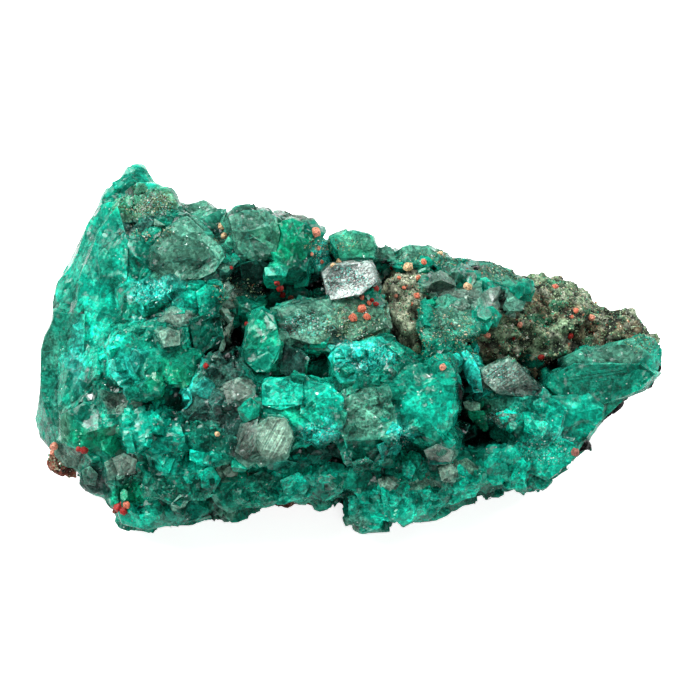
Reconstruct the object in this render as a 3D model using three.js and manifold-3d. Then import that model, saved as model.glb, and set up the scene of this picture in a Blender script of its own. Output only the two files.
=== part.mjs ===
// A hand specimen of dioptase: a crust of green crystals grown together over a piece of matrix rock.
// It lies on the flat underside of the rock, crystals up. Millimetres: +X right, +Y back, +Z up.
import * as THREE from "three";
import { ConvexGeometry } from "three/addons/geometries/ConvexGeometry.js";
import { MeshSurfaceSampler } from "three/addons/math/MeshSurfaceSampler.js";
import { mergeVertices } from "three/addons/utils/BufferGeometryUtils.js";
import Module from "manifold-3d";

const wasm = await Module();
wasm.setup();

// Places on the specimen are given as they are seen from above its front, through a 70 mm square window:
// tenths of a millimetre from the left and from the top of the window, and millimetres over the table.
const viewTilt = THREE.MathUtils.degToRad(60);
const viewDistance = 262.5;
const viewAim = new THREE.Vector3(0, 0, 8);
const windowMiddle = 350;
const viewRight = new THREE.Vector3(1, 0, 0);
const viewUp = new THREE.Vector3(0, Math.sin(viewTilt), Math.cos(viewTilt));
const toViewer = new THREE.Vector3(0, -Math.cos(viewTilt), Math.sin(viewTilt));
const viewer = viewAim.clone().addScaledVector(toViewer, viewDistance);

const tableGap = 0.6; // the crystals end this far over the table
const seamGap = 0.3; // between the crystals and the rock that they grew on
const rhombSlope = 1.2; // rise over run of the three faces of a crystal's head
const sliver = 0.06; // edges shorter than this are left out of the finished solids
const middleShift = new THREE.Vector3(0.1, -0.8, 0); // brings the origin under the middle of the specimen
const blockBack = 1.2; // a block ends this far behind its upper edge
const smallCrystals = 100;
const smallWidth = [2, 4.2];
const massRoughness = 0.12; // how far a lump's corners are sunk, as a part of its radius
const rockRoughness = 0.14;

// A small repeatable random number generator.
function randomFrom(seed) {
  let state = seed;
  return () => {
    state = (state + 0x6d2b79f5) | 0;
    let t = Math.imul(state ^ (state >>> 15), 1 | state);
    t = (t + Math.imul(t ^ (t >>> 7), 61 | t)) ^ t;
    return ((t ^ (t >>> 14)) >>> 0) / 4294967296;
  };
}
const random = randomFrom(7);
const between = (low, high) => low + (high - low) * random();

function seen(u, v, height) {
  const ray = viewAim
    .clone()
    .addScaledVector(viewRight, (u - windowMiddle) / 10)
    .addScaledVector(viewUp, (windowMiddle - v) / 10)
    .sub(viewer);
  return viewer.clone().addScaledVector(ray, (height - viewer.z) / ray.z);
}

// A direction that leans away from the viewer, towards a clock angle of the window: 0 is right, 90 is up.
function facing(lean, clock) {
  const a = THREE.MathUtils.degToRad(lean);
  const c = THREE.MathUtils.degToRad(clock);
  return toViewer
    .clone()
    .multiplyScalar(Math.cos(a))
    .addScaledVector(viewRight, Math.sin(a) * Math.cos(c))
    .addScaledVector(viewUp, Math.sin(a) * Math.sin(c));
}

function solidOf(geometry) {
  const bare = new THREE.BufferGeometry();
  bare.setAttribute("position", geometry.getAttribute("position"));
  bare.setIndex(geometry.index);
  const merged = mergeVertices(bare, 1e-4);
  const vertProperties = merged.attributes.position.array;
  const triVerts = new Uint32Array(merged.index.array);
  return new wasm.Manifold(new wasm.Mesh({ numProp: 3, vertProperties, triVerts }));
}

function geometryOf(solid) {
  const mesh = solid.getMesh();
  const geometry = new THREE.BufferGeometry();
  geometry.setAttribute("position", new THREE.BufferAttribute(mesh.vertProperties, 3));
  geometry.setIndex(new THREE.BufferAttribute(mesh.triVerts, 1));
  return geometry;
}

// Keeps what lies behind the plane through a point with that outward normal.
const behind = (solid, point, normal) =>
  solid.trimByPlane(normal.clone().negate().toArray(), -normal.dot(point));

// Breaks small flat chips off the parts that stand out furthest.
function chipped(solid, count, depth) {
  let left = solid;
  for (let i = 0; i < count; i++) {
    const way = new THREE.Vector3(between(-1, 1), between(-1, 1), between(-0.4, 1)).normalize();
    const corners = left.getMesh().vertProperties;
    let reach = -Infinity;
    for (let k = 0; k < corners.length; k += 3) {
      reach = Math.max(reach, way.x * corners[k] + way.y * corners[k + 1] + way.z * corners[k + 2]);
    }
    left = left.trimByPlane(way.clone().negate().toArray(), depth * between(0.5, 1.2) - reach);
  }
  return left;
}

// A six-sided prism closed by three rhomb faces at its head.
// head is the tip, and axis points out of the specimen.
function crystal({ head, axis, width, length, turn = 0, chips = 2 }) {
  const radius = width / 2;
  const points = [new THREE.Vector3(0, 0, 0)];
  for (let k = 0; k < 6; k++) {
    const angle = (k * Math.PI) / 3 + THREE.MathUtils.degToRad(turn);
    const x = radius * Math.cos(angle);
    const y = radius * Math.sin(angle);
    points.push(new THREE.Vector3(x, y, -rhombSlope * radius * (k % 2 ? 0.5 : 1)));
    points.push(new THREE.Vector3(x, y, -length));
  }
  const geometry = new ConvexGeometry(points);
  geometry.applyQuaternion(new THREE.Quaternion().setFromUnitVectors(new THREE.Vector3(0, 0, 1), axis));
  geometry.translate(head.x, head.y, head.z);
  return chipped(solidOf(geometry), chips, width * 0.07);
}

// A broken block: an outline in the window that widens into the mass behind it, closed by flat faces.
// Each face is [u, v, height, lean, clock]: a point on it and the way that it looks.
function block({ outline, faces, deep = 6, flare = 1.12, chips = 1, chipDepth = 0.35 }) {
  const heights = faces.map((face) => face[2]);
  const top = Math.max(...heights) + 5;
  const foot = Math.min(...heights) - deep;
  const middle = [0, 1].map((i) => outline.reduce((sum, p) => sum + p[i], 0) / outline.length);
  const corners = outline.flatMap(([u, v]) => [
    seen(middle[0] + (u - middle[0]) * 0.96, middle[1] + (v - middle[1]) * 0.96, top),
    seen(middle[0] + (u - middle[0]) * flare, middle[1] + (v - middle[1]) * flare, foot),
  ]);
  let solid = solidOf(new ConvexGeometry(corners));
  const upperEdge = seen(middle[0], Math.min(...outline.map((p) => p[1])), heights[0]);
  const backWay = new THREE.Vector3(between(-0.3, 0.3), 1, between(-0.5, 0)).normalize();
  solid = behind(solid, upperEdge.add(at(0, blockBack * between(0.6, 1.4), 0)), backWay);
  for (const [u, v, height, lean, clock] of faces) {
    solid = behind(solid, seen(u, v, height), facing(lean, clock));
  }
  return chipped(solid, chips, chipDepth);
}

const at = (x, y, z) => new THREE.Vector3(x, y, z);

// A rounded lump with a rough, many-sided surface. Grown, it is the same lump and that much larger.
function lump({ centre, radii, detail = 1 }, seed, rough, grown) {
  const own = randomFrom(seed);
  const sphere = new THREE.IcosahedronGeometry(1, detail);
  sphere.deleteAttribute("normal");
  sphere.deleteAttribute("uv");
  const points = mergeVertices(sphere, 1e-4).attributes.position;
  const size = new THREE.Vector3(...radii);
  const corners = [];
  for (let i = 0; i < points.count; i++) {
    const way = new THREE.Vector3().fromBufferAttribute(points, i);
    const corner = way.clone().multiplyScalar(1 - rough * own()).multiply(size);
    corners.push(corner.addScaledVector(way, grown).add(centre));
  }
  return solidOf(new ConvexGeometry(corners));
}

// The mass that all the crystals grow out of, as overlapping lumps.
const massLumps = [
  { centre: at(-21, 9, 7.4), radii: [7.6, 8.4, 6.4] },
  { centre: at(-23.4, -2, 6.4), radii: [6.6, 10, 6] },
  { centre: at(-17, -8, 6), radii: [9, 7.4, 5.6] },
  { centre: at(-14.5, 4, 8.6), radii: [8.6, 8.6, 6] },
  { centre: at(-7, 6.4, 8), radii: [8, 7, 6] },
  { centre: at(-6, -5, 7), radii: [10, 9.6, 5.8] },
  { centre: at(3, -5, 6.6), radii: [9, 9.2, 5.8] },
  { centre: at(4, 4.4, 6.6), radii: [8.4, 6.8, 5] },
  { centre: at(8, -8, 5.4), radii: [8, 6.4, 4.8] },
  { centre: at(17.5, -6.8, 4.8), radii: [7.4, 5.4, 3.4] },
  { centre: at(24, -2.8, 5), radii: [6.4, 3.8, 3.2] },
];

// The big crystals and broken blocks, from the left end to the right.
const blocks = [
  // the long slab at the left, with its tip at the back
  {
    outline: [
      [101, 202], [104, 190], [120, 178], [133, 168], [146, 171], [156, 186], [152, 202], [125, 218],
    ],
    faces: [[130, 190, 13, 38, 95], [112, 195, 12.6, 40, 150]],
    chips: 1,
  },
  {
    outline: [
      [118, 200], [101, 204], [90, 225], [79, 250], [60, 275], [54, 312], [72, 335], [100, 300],
      [116, 250],
    ],
    faces: [[88, 255, 12, 42, 162], [66, 300, 9.6, 55, 178]],
    chips: 0,
  },
  {
    outline: [
      [54, 312], [42, 338], [40, 395], [36, 425], [47, 442], [62, 440], [68, 400], [84, 350], [86, 312],
    ],
    faces: [[62, 370, 9, 36, 176], [45, 400, 6.4, 55, 188]],
    chips: 0,
  },
  {
    outline: [
      [118, 204], [128, 240], [126, 290], [120, 340], [100, 390], [78, 402], [66, 380], [74, 330],
      [80, 280], [98, 232],
    ],
    faces: [[96, 290, 13.8, 24, 165], [112, 330, 14.2, 8, 330], [92, 370, 12.4, 22, 200]],
    chips: 2,
  },
  // the gritty mound and the great crystal under it
  {
    outline: [
      [120, 198], [130, 190], [155, 188], [171, 195], [178, 206], [165, 222], [125, 224], [117, 212],
    ],
    faces: [[148, 202, 17.2, 34, 95], [148, 216, 17.6, 8, 270]],
    chips: 2,
  },
  {
    outline: [
      [140, 220], [165, 214], [186, 215], [200, 226], [222, 246], [233, 262], [222, 274], [188, 282],
      [165, 281], [148, 265], [128, 245],
    ],
    faces: [[200, 236, 18.2, 24, 62], [182, 268, 17.2, 18, 255], [152, 245, 17.4, 24, 135]],
    chips: 1,
  },
  {
    outline: [[152, 264], [175, 256], [205, 262], [214, 272], [205, 284], [160, 286]],
    faces: [[180, 272, 17.3, 10, 262]],
  },
  {
    outline: [
      [176, 201], [196, 201], [213, 204], [227, 217], [238, 240], [236, 262], [205, 262], [178, 240],
    ],
    faces: [[203, 207, 15.6, 44, 95], [212, 232, 15.2, 14, 15]],
  },
  {
    outline: [[100, 250], [124, 232], [146, 258], [152, 285], [122, 292], [102, 282]],
    faces: [[124, 262, 15.8, 16, 165]],
  },
  // the pair of crystals at the back, and the dark block in front of them
  {
    outline: [
      [227, 223], [238, 212], [258, 208], [273, 208], [280, 222], [278, 256], [262, 264], [246, 262],
      [233, 246],
    ],
    faces: [
      [252, 216, 18.2, 44, 92], [246, 236, 18, 16, 150], [262, 252, 17.6, 26, 285],
      [272, 232, 18, 24, 10],
    ],
    chips: 2,
  },
  {
    outline: [
      [275, 216], [290, 210], [307, 213], [316, 230], [314, 252], [302, 276], [286, 284], [273, 270],
      [273, 240],
    ],
    faces: [
      [295, 216, 17.2, 46, 88], [290, 240, 17.4, 14, 125], [298, 264, 16.8, 30, 285],
      [310, 240, 16.8, 32, 20],
    ],
    chips: 2,
  },
  {
    outline: [[240, 263], [270, 263], [274, 290], [256, 297], [242, 286]],
    faces: [[256, 276, 15.2, 14, 200]],
  },
  // the speckled square crystal, the wedge below it and the crystals along the back edge
  {
    outline: [[325, 276], [334, 264], [369, 262], [379, 282], [374, 299], [332, 302]],
    faces: [[352, 281, 15.8, 24, 85]],
    flare: 1,
    chips: 1,
  },
  {
    outline: [[338, 243], [355, 236], [367, 238], [374, 248], [371, 264], [345, 264]],
    faces: [[357, 246, 13.4, 40, 92], [355, 256, 13.8, 16, 270]],
  },
  {
    outline: [[373, 251], [388, 247], [419, 249], [440, 257], [436, 270], [402, 268], [376, 264]],
    faces: [[405, 254, 12.8, 46, 88], [405, 262, 13.2, 20, 90]],
  },
  {
    outline: [
      [280, 305], [300, 299], [340, 298], [380, 296], [386, 320], [380, 342], [345, 348], [300, 347],
      [281, 336],
    ],
    faces: [[320, 305, 16.2, 32, 84], [330, 330, 16, 8, 280], [372, 318, 15.2, 24, 25]],
    chips: 2,
  },
  // the dome, the lumps below it and the thin blade beside them
  {
    outline: [[184, 292], [199, 283], [214, 284], [223, 298], [219, 315], [198, 319], [184, 308]],
    faces: [[202, 292, 16.8, 30, 98], [208, 308, 16.6, 24, 290], [192, 302, 16.5, 22, 190]],
  },
  {
    outline: [[190, 318], [221, 313], [225, 340], [214, 354], [194, 351]],
    faces: [[206, 332, 15.6, 20, 290]],
  },
  {
    outline: [[162, 322], [174, 311], [197, 314], [196, 324], [172, 328]],
    faces: [[180, 319, 16.4, 30, 80]],
  },
  {
    outline: [[118, 288], [150, 280], [182, 286], [184, 318], [150, 324], [120, 318]],
    faces: [[150, 300, 15.8, 12, 150], [165, 312, 15.8, 18, 280]],
  },
  {
    outline: [
      [117, 332], [150, 322], [184, 328], [192, 352], [190, 380], [170, 391], [135, 389], [115, 372],
      [109, 350],
    ],
    faces: [
      [150, 342, 16, 22, 98], [160, 374, 15.6, 18, 275], [126, 360, 15.4, 24, 190],
      [182, 356, 15.6, 18, 5],
    ],
    chips: 2,
  },
  {
    outline: [[158, 332], [170, 326], [181, 333], [180, 345], [164, 347]],
    faces: [[170, 337, 16.8, 22, 85]],
    deep: 4,
  },
  {
    outline: [[236, 311], [232, 332], [222, 353], [217, 349], [223, 330], [229, 315]],
    faces: [[227, 330, 15, 14, 15]],
    flare: 1,
    chips: 0,
  },
  {
    outline: [
      [246, 322], [258, 311], [274, 310], [281, 325], [280, 352], [270, 370], [254, 368], [243, 350],
    ],
    faces: [[262, 326, 16.2, 22, 95], [264, 354, 15.8, 24, 275], [248, 342, 15.8, 24, 190]],
  },
  {
    outline: [[276, 350], [290, 344], [305, 354], [305, 373], [290, 378], [276, 370]],
    faces: [[290, 352, 15, 32, 90], [290, 366, 14.8, 28, 280]],
  },
  // the striated lump, the bright block and the pale facet in the middle
  {
    outline: [
      [181, 412], [196, 392], [212, 362], [232, 352], [252, 372], [258, 398], [256, 416], [230, 440],
      [205, 430],
    ],
    faces: [
      [234, 388, 15.6, 14, 65], [220, 368, 15.4, 24, 125], [206, 414, 14.2, 26, 225],
      [240, 412, 14.8, 18, 290],
    ],
    chips: 2,
  },
  {
    outline: [
      [262, 384], [300, 378], [331, 388], [342, 412], [338, 438], [305, 443], [278, 425], [262, 411],
    ],
    faces: [[298, 395, 15.4, 16, 80], [312, 425, 14.8, 18, 292], [274, 402, 15.2, 22, 185]],
    chips: 2,
  },
  {
    outline: [[260, 420], [284, 419], [293, 438], [284, 457], [262, 461], [252, 445]],
    faces: [[272, 438, 14, 14, 245]],
    chips: 1,
  },
  {
    outline: [[244, 425], [258, 420], [256, 449], [247, 460], [235, 450]],
    faces: [[248, 440, 13.2, 16, 195]],
  },
  {
    outline: [[196, 432], [220, 428], [238, 450], [226, 462], [200, 458]],
    faces: [[214, 445, 12.6, 12, 260]],
  },
  // the lumps right of the middle
  {
    outline: [
      [338, 352], [355, 342], [395, 344], [412, 360], [410, 386], [385, 397], [348, 393], [336, 375],
    ],
    faces: [[372, 356, 15.6, 24, 94], [372, 380, 15.3, 16, 280], [400, 368, 15, 18, 10]],
    chips: 2,
  },
  {
    outline: [
      [397, 380], [420, 362], [445, 370], [460, 392], [458, 425], [440, 446], [412, 441], [393, 420],
      [390, 398],
    ],
    faces: [
      [425, 384, 15, 22, 85], [425, 422, 14.4, 22, 275], [448, 405, 14.2, 32, 0],
      [402, 405, 14.6, 18, 185],
    ],
    chips: 2,
  },
  {
    outline: [[341, 396], [385, 391], [396, 415], [390, 450], [370, 468], [350, 457], [340, 425]],
    faces: [[365, 408, 14.8, 14, 100], [368, 446, 13.4, 24, 268]],
  },
  {
    outline: [
      [422, 310], [446, 299], [480, 298], [487, 315], [470, 345], [455, 362], [430, 352], [418, 330],
    ],
    faces: [[455, 316, 14, 30, 72], [446, 345, 13.8, 16, 300]],
  },
  {
    outline: [[424, 279], [454, 274], [459, 300], [430, 305]],
    faces: [[440, 288, 13.7, 34, 85]],
    chips: 1,
  },
  {
    outline: [[452, 291], [480, 285], [485, 308], [456, 313]],
    faces: [[467, 298, 13.4, 34, 80]],
    chips: 1,
  },
  {
    outline: [[480, 293], [508, 288], [515, 310], [486, 319]],
    faces: [[497, 303, 13, 34, 86]],
    chips: 1,
  },
  {
    outline: [
      [438, 258], [470, 262], [486, 260], [504, 267], [526, 276], [526, 290], [480, 294], [444, 280],
    ],
    faces: [[488, 270, 12, 46, 86], [488, 284, 12.6, 26, 85]],
  },
  // the right end: the blade and the tilted block over the dark hole, and the smooth mass around them
  {
    outline: [[459, 352], [474, 352], [487, 372], [486, 396], [472, 388], [461, 370]],
    faces: [[473, 372, 11.8, 16, 40]],
    chips: 1,
  },
  {
    outline: [[480, 368], [512, 360], [530, 378], [546, 396], [520, 399], [498, 394], [481, 386]],
    faces: [[505, 374, 12.4, 26, 96], [522, 390, 12, 20, 285]],
    chips: 1,
  },
  {
    outline: [[485, 397], [545, 396], [562, 410], [550, 441], [515, 440], [492, 420]],
    faces: [[522, 414, 10.8, 14, 275], [500, 408, 10.8, 22, 190]],
  },
  {
    outline: [[466, 405], [484, 402], [492, 415], [488, 430], [471, 427]],
    faces: [[477, 411, 9.8, 22, 80], [480, 423, 9.5, 30, 285]],
    flare: 1,
    chips: 0,
  },
  {
    outline: [
      [562, 360], [595, 346], [645, 340], [656, 340], [662, 350], [665, 370], [650, 390], [600, 398],
      [565, 396],
    ],
    faces: [[620, 356, 9.6, 36, 88], [602, 380, 9.4, 26, 285], [655, 365, 8.4, 36, 350]],
    chips: 1,
    chipDepth: 0.2,
  },
  {
    outline: [[580, 394], [640, 376], [652, 384], [638, 393], [612, 416], [596, 432], [580, 430]],
    faces: [[612, 402, 7.6, 30, 305]],
    chips: 1,
  },
  {
    outline: [[545, 399], [588, 393], [603, 406], [598, 430], [576, 448], [548, 442]],
    faces: [[574, 416, 8.8, 18, 300], [566, 402, 9.2, 22, 85]],
  },
  {
    outline: [[512, 438], [550, 431], [576, 443], [578, 458], [548, 474], [515, 472]],
    faces: [[545, 452, 7.8, 16, 285]],
  },
  {
    outline: [[488, 448], [510, 441], [527, 465], [521, 486], [495, 488], [480, 470]],
    faces: [[505, 466, 7.6, 18, 265]],
  },
  // the left end of the front edge
  {
    outline: [[62, 416], [85, 403], [108, 408], [121, 425], [115, 445], [86, 451], [63, 441]],
    faces: [[88, 417, 11, 22, 115], [92, 436, 10.4, 24, 275], [70, 428, 10, 30, 190]],
  },
  {
    outline: [[100, 392], [125, 388], [140, 402], [132, 418], [108, 414]],
    faces: [[120, 402, 12.6, 18, 120]],
  },
  {
    outline: [[55, 442], [75, 445], [88, 455], [84, 470], [66, 466], [56, 455]],
    faces: [[72, 456, 7, 22, 230]],
  },
  {
    outline: [[82, 471], [100, 462], [112, 475], [106, 496], [88, 495], [80, 484]],
    faces: [[96, 478, 6.6, 26, 250]],
    chips: 1,
  },
  {
    outline: [[107, 466], [122, 455], [138, 458], [141, 475], [122, 487], [109, 481]],
    faces: [[124, 466, 8.4, 18, 120], [126, 478, 8, 22, 275]],
  },
  {
    outline: [[117, 487], [130, 478], [146, 482], [149, 498], [132, 507], [117, 500]],
    faces: [[132, 490, 6.4, 22, 275]],
  },
  // the front edge from left to right
  {
    outline: [[124, 416], [158, 406], [181, 420], [183, 446], [150, 459], [124, 446]],
    faces: [[152, 424, 12.6, 18, 100], [152, 444, 12, 22, 260]],
    chips: 2,
  },
  {
    outline: [[150, 456], [185, 442], [213, 455], [216, 485], [186, 501], [154, 491]],
    faces: [[182, 458, 10.4, 14, 95], [184, 482, 9.2, 28, 275]],
    chips: 2,
  },
  {
    outline: [[219, 466], [245, 459], [268, 470], [269, 500], [235, 513], [217, 500]],
    faces: [[243, 472, 8.8, 14, 100], [244, 494, 7.2, 32, 272]],
    chips: 2,
  },
  {
    outline: [[268, 466], [304, 456], [340, 465], [346, 490], [325, 502], [290, 498], [269, 495]],
    faces: [[306, 470, 8.8, 16, 95], [308, 490, 7, 32, 275]],
    chips: 2,
  },
  {
    outline: [
      [122, 509], [150, 503], [185, 496], [214, 505], [220, 521], [183, 526], [160, 521], [126, 521],
    ],
    faces: [[178, 512, 5.2, 26, 272]],
    chips: 2,
  },
  {
    outline: [[346, 496], [364, 481], [400, 485], [410, 515], [362, 530], [348, 523]],
    faces: [[375, 492, 7.2, 14, 95], [376, 510, 5.8, 30, 270]],
    chips: 2,
  },
  {
    outline: [[398, 478], [430, 470], [450, 490], [440, 515], [416, 521], [400, 511]],
    faces: [[424, 482, 7.4, 14, 95], [424, 502, 5.8, 32, 275]],
    chips: 2,
  },
  {
    outline: [[345, 462], [380, 460], [402, 470], [398, 488], [362, 486], [344, 478]],
    faces: [[374, 472, 9, 20, 275]],
  },
  {
    outline: [[440, 462], [470, 455], [482, 475], [475, 496], [448, 500], [438, 485]],
    faces: [[460, 470, 7.8, 14, 95], [460, 486, 6.8, 30, 280]],
    chips: 2,
  },
  {
    outline: [[478, 486], [500, 482], [506, 493], [484, 498]],
    faces: [[492, 490, 5, 26, 280]],
    deep: 4,
  },
  {
    outline: [[504, 473], [535, 470], [546, 480], [530, 489], [508, 487]],
    faces: [[525, 479, 5.4, 28, 285]],
    deep: 4,
  },
  // smaller crystals with clear faces
  {
    outline: [[402, 462], [414, 460], [418, 472], [408, 480], [401, 476]],
    faces: [[409, 469, 9.4, 16, 280]],
    deep: 4,
  },
  {
    outline: [[439, 470], [456, 466], [460, 478], [446, 485], [438, 480]],
    faces: [[449, 475, 8.8, 16, 110]],
    deep: 4,
  },
  {
    outline: [[425, 452], [440, 444], [455, 452], [450, 462], [430, 466]],
    faces: [[440, 454, 10.4, 20, 95]],
    deep: 5,
  },
  {
    outline: [[376, 480], [390, 475], [398, 482], [388, 488]],
    faces: [[387, 481, 8.8, 26, 100]],
    deep: 4,
  },
];

// Deep gaps between the crystals.
const gaps = [
  { centre: seen(286, 296, 12.6), radii: [3.6, 1.6, 4], detail: 0 },
  { centre: seen(324, 284, 13), radii: [1, 1.6, 4], detail: 0 },
  { centre: seen(236, 338, 13), radii: [1.4, 3.4, 4], detail: 0 },
  { centre: seen(478, 440, 5.5), radii: [2, 2.6, 4], detail: 0 },
  { centre: seen(464, 400, 9), radii: [0.8, 2.6, 4], detail: 0 },
  { centre: seen(150, 411, 13), radii: [1, 0.8, 3], detail: 0 },
  { centre: seen(160, 393, 14.5), radii: [3, 0.8, 3], detail: 0 },
  { centre: seen(330, 452, 11.6), radii: [2.6, 1.1, 3], detail: 0 },
  { centre: seen(540, 372, 9), radii: [3, 2, 3], detail: 0 },
];

// The rock: a low body, a hump along its right back that no crystals cover, and bits that show at its edge.
const rockLumps = [
  { centre: at(-7, -2, 2.2), radii: [22.5, 13.6, 4.6] },
  { centre: at(-21.6, -6.4, 2.6), radii: [7, 8, 3.4] },
  { centre: at(18.4, -3.6, 2.2), radii: [10, 5.6, 3.4] },
  { centre: at(5.8, 3, 8.4), radii: [4, 6.4, 6] },
  { centre: at(13, 4, 5.4), radii: [9.4, 6, 7] },
  { centre: at(19.6, 3.9, 4.8), radii: [7.4, 5.4, 6.4] },
  { centre: at(26.2, 1.3, 4.6), radii: [5.6, 4.2, 5] },
  { centre: seen(68, 458, 3.6), radii: [2, 1.9, 2.1], detail: 0 },
  { centre: seen(124, 500, 3.2), radii: [2, 2.1, 2.1], detail: 0 },
  { centre: seen(157, 518, 2.8), radii: [2.3, 1.6, 1.8], detail: 0 },
  { centre: seen(570, 450, 4), radii: [1.7, 1.7, 1.9], detail: 0 },
  { centre: seen(52, 362, 4.6), radii: [1.8, 2.3, 1.9], detail: 0 },
];

// The edge of the specimen in the window. Small crystals don't reach beyond it.
const rim = [
  [133, 168], [155, 185], [172, 194], [212, 203], [228, 214], [270, 207], [312, 213], [330, 238], [370, 238],
  [440, 250], [500, 262], [530, 280], [580, 290], [612, 316], [655, 339], [665, 368], [648, 392], [600, 430],
  [575, 460], [540, 482], [480, 497], [440, 512], [362, 530], [347, 503], [290, 497], [215, 524], [125, 523],
  [108, 500], [85, 494], [60, 470], [45, 443], [36, 420], [42, 340], [55, 290], [80, 240], [101, 200],
];

// Where a place is seen in the window.
function inWindow(place) {
  const ray = place.clone().sub(viewer);
  const scale = (viewDistance * 10) / -ray.dot(toViewer);
  return [windowMiddle + ray.dot(viewRight) * scale, windowMiddle - ray.dot(viewUp) * scale];
}

function insideRim([u, v]) {
  let inside = false;
  rim.forEach(([u1, v1], i) => {
    const [u2, v2] = rim[(i + 1) % rim.length];
    if (v1 > v !== v2 > v && u < u1 + ((v - v1) * (u2 - u1)) / (v2 - v1)) {
      inside = !inside;
    }
  });
  return inside;
}

const union = (solids) => wasm.Manifold.union(solids);

// Lumps that overlap, as one solid. The same first seed gives the same lumps again.
const joined = (shapes, firstSeed, rough, grown = 0) =>
  union(shapes.map((shape, i) => lump(shape, firstSeed + i, rough, grown)));

// The largest body of a solid, without loose crumbs and sealed hollows.
function mainBody(solid) {
  const bodies = solid.decompose();
  return bodies.sort((a, b) => b.volume() - a.volume())[0];
}

const above = (solid, height) => solid.trimByPlane([0, 0, 1], height);

const rock = mainBody(above(joined(rockLumps, 40, rockRoughness), 0).simplify(sliver));
const rockRoom = joined(rockLumps, 40, rockRoughness, seamGap);

// Small crystals stand out of the mass all over, also between the big ones.
function smallOnes(mass) {
  const sampler = new MeshSurfaceSampler(new THREE.Mesh(geometryOf(mass).toNonIndexed()));
  sampler.setRandomGenerator(random).build();
  const solids = [];
  while (solids.length < smallCrystals) {
    const place = new THREE.Vector3();
    const axis = new THREE.Vector3();
    sampler.sample(place, axis);
    axis.add(at(between(-0.5, 0.5), between(-0.5, 0.5), between(-0.2, 0.5))).normalize();
    const width = between(...smallWidth);
    const head = place.clone().addScaledVector(axis, width * between(0.3, 0.6));
    const reach = inWindow(head.clone().addScaledVector(axis, 0.3 * width));
    const wanted = place.z > 1.6 && insideRim(inWindow(head)) && insideRim(reach);
    if (wanted) {
      solids.push(crystal({ head, axis, width, length: width * 1.6, turn: between(0, 60), chips: 0 }));
    }
  }
  return solids;
}

const mass = joined(massLumps, 80, massRoughness);
const crust = union([mass, ...blocks.map((shape) => block(shape)), ...smallOnes(mass)]);
const opened = crust.subtract(joined(gaps, 120, massRoughness)).subtract(rockRoom);
const crystals = mainBody(above(opened, tableGap).simplify(sliver));

function piece(name, solid, color, roughness) {
  const geometry = geometryOf(solid).toNonIndexed();
  geometry.computeVertexNormals();
  const mesh = new THREE.Mesh(geometry, new THREE.MeshStandardMaterial({ color, roughness }));
  mesh.name = name;
  return mesh;
}

const group = new THREE.Group();
group.name = "dioptase";
group.add(piece("dioptase_crystals", crystals, 0x12805f, 0.35));
group.add(piece("matrix_rock", rock, 0x6b5a45, 0.95));
for (const mesh of group.children) {
  mesh.geometry.translate(...middleShift.toArray());
}
export default group;
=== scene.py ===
"""A hand specimen of dioptase on its matrix rock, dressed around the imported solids.

Shapes are worked out in millimetres in the part's frame and turned into metres when a mesh is made.
"""

import math

import bmesh
import bpy
import numpy as np
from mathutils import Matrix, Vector
from mathutils.bvhtree import BVHTree


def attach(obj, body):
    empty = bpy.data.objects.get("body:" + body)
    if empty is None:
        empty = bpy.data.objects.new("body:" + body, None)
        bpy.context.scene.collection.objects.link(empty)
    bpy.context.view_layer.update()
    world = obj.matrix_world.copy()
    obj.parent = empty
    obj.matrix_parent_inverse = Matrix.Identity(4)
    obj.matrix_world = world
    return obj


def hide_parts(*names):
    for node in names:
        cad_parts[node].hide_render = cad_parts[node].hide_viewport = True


MM = 0.001

# The window that the specimen is seen through: 70 mm square, 60 degrees above its front.
# Places in it are tenths of a millimetre from its left and from its top.
VIEW_TILT = math.radians(60)
VIEW_DISTANCE = 262.5
VIEW_AIM = np.array([0.1, -0.8, 8.0])
VIEW_RIGHT = np.array([1.0, 0.0, 0.0])
VIEW_UP = np.array([0.0, math.sin(VIEW_TILT), math.cos(VIEW_TILT)])
TO_VIEWER = np.array([0.0, -math.cos(VIEW_TILT), math.sin(VIEW_TILT)])
VIEWER = VIEW_AIM + TO_VIEWER * VIEW_DISTANCE
WINDOW_MIDDLE = 350.0
WINDOW_WIDTH_MM = 70.0
SENSOR_MM = 36.0

FINEST_EDGE = 0.42  # on the rock's faces that show
FACE_EDGE = FINEST_EDGE * 1.2  # on the crystals' flat faces
SINGLE_EDGE = 0.6  # on the single crystals
UNDER_EDGE = 1.6  # on the underside
TABLE_GAP = 0.5  # below this height a face counts as underside
VOXEL = 0.29
GAP_CLOSED = 0.45  # half the width of the gaps that are grown shut
MORE_CLOSED = 0.5  # what is added to it near the table, on the slab and at the back
CREASE = 18  # degrees between two faces from which their edge is sharp
ROCK_CREASE = 50
HOLLOW_DEPTH = 1.2
UNDER_FACES = 0.10  # how far the crust lies under the crystals' flat faces, whose gaps it fills
OVER_CRUST = 0.04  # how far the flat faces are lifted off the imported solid
STEP_WIDTH = 0.3  # how wide a step between two broken faces is

# Layers of broken faces: their size, slope and lift in millimetres, and a seed.
COARSE_FACES = (4.2, 0.30, 0.10, 11)
MEDIUM_FACES = (1.9, 0.30, 0.07, 23)
FINE_FACES = (0.95, 0.28, 0.03, 29)
SLAB_FACES = (2.0, 0.16, 0.06, 37)
SINGLE_FACES = (1.5, 0.35, 0.08, 53)
ROCK_LUMPS = (1.3, 0.5, 0.22, 61)
ROCK_CHIPS = (0.55, 0.6, 0.12, 67)
BROAD_CRACKS = 620.0  # scale of the largest cracks in the crystal's finish
HALFWAY = (0.5, 0.5, 0.5)

# The grain of the slab at the left end: its broken faces are long and lean this way.
SLAB_STREAK = np.array([[1.0, 0.0, 0.0], [0.0, 0.32, -0.25], [0.0, 0.25, 0.32]])

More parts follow.
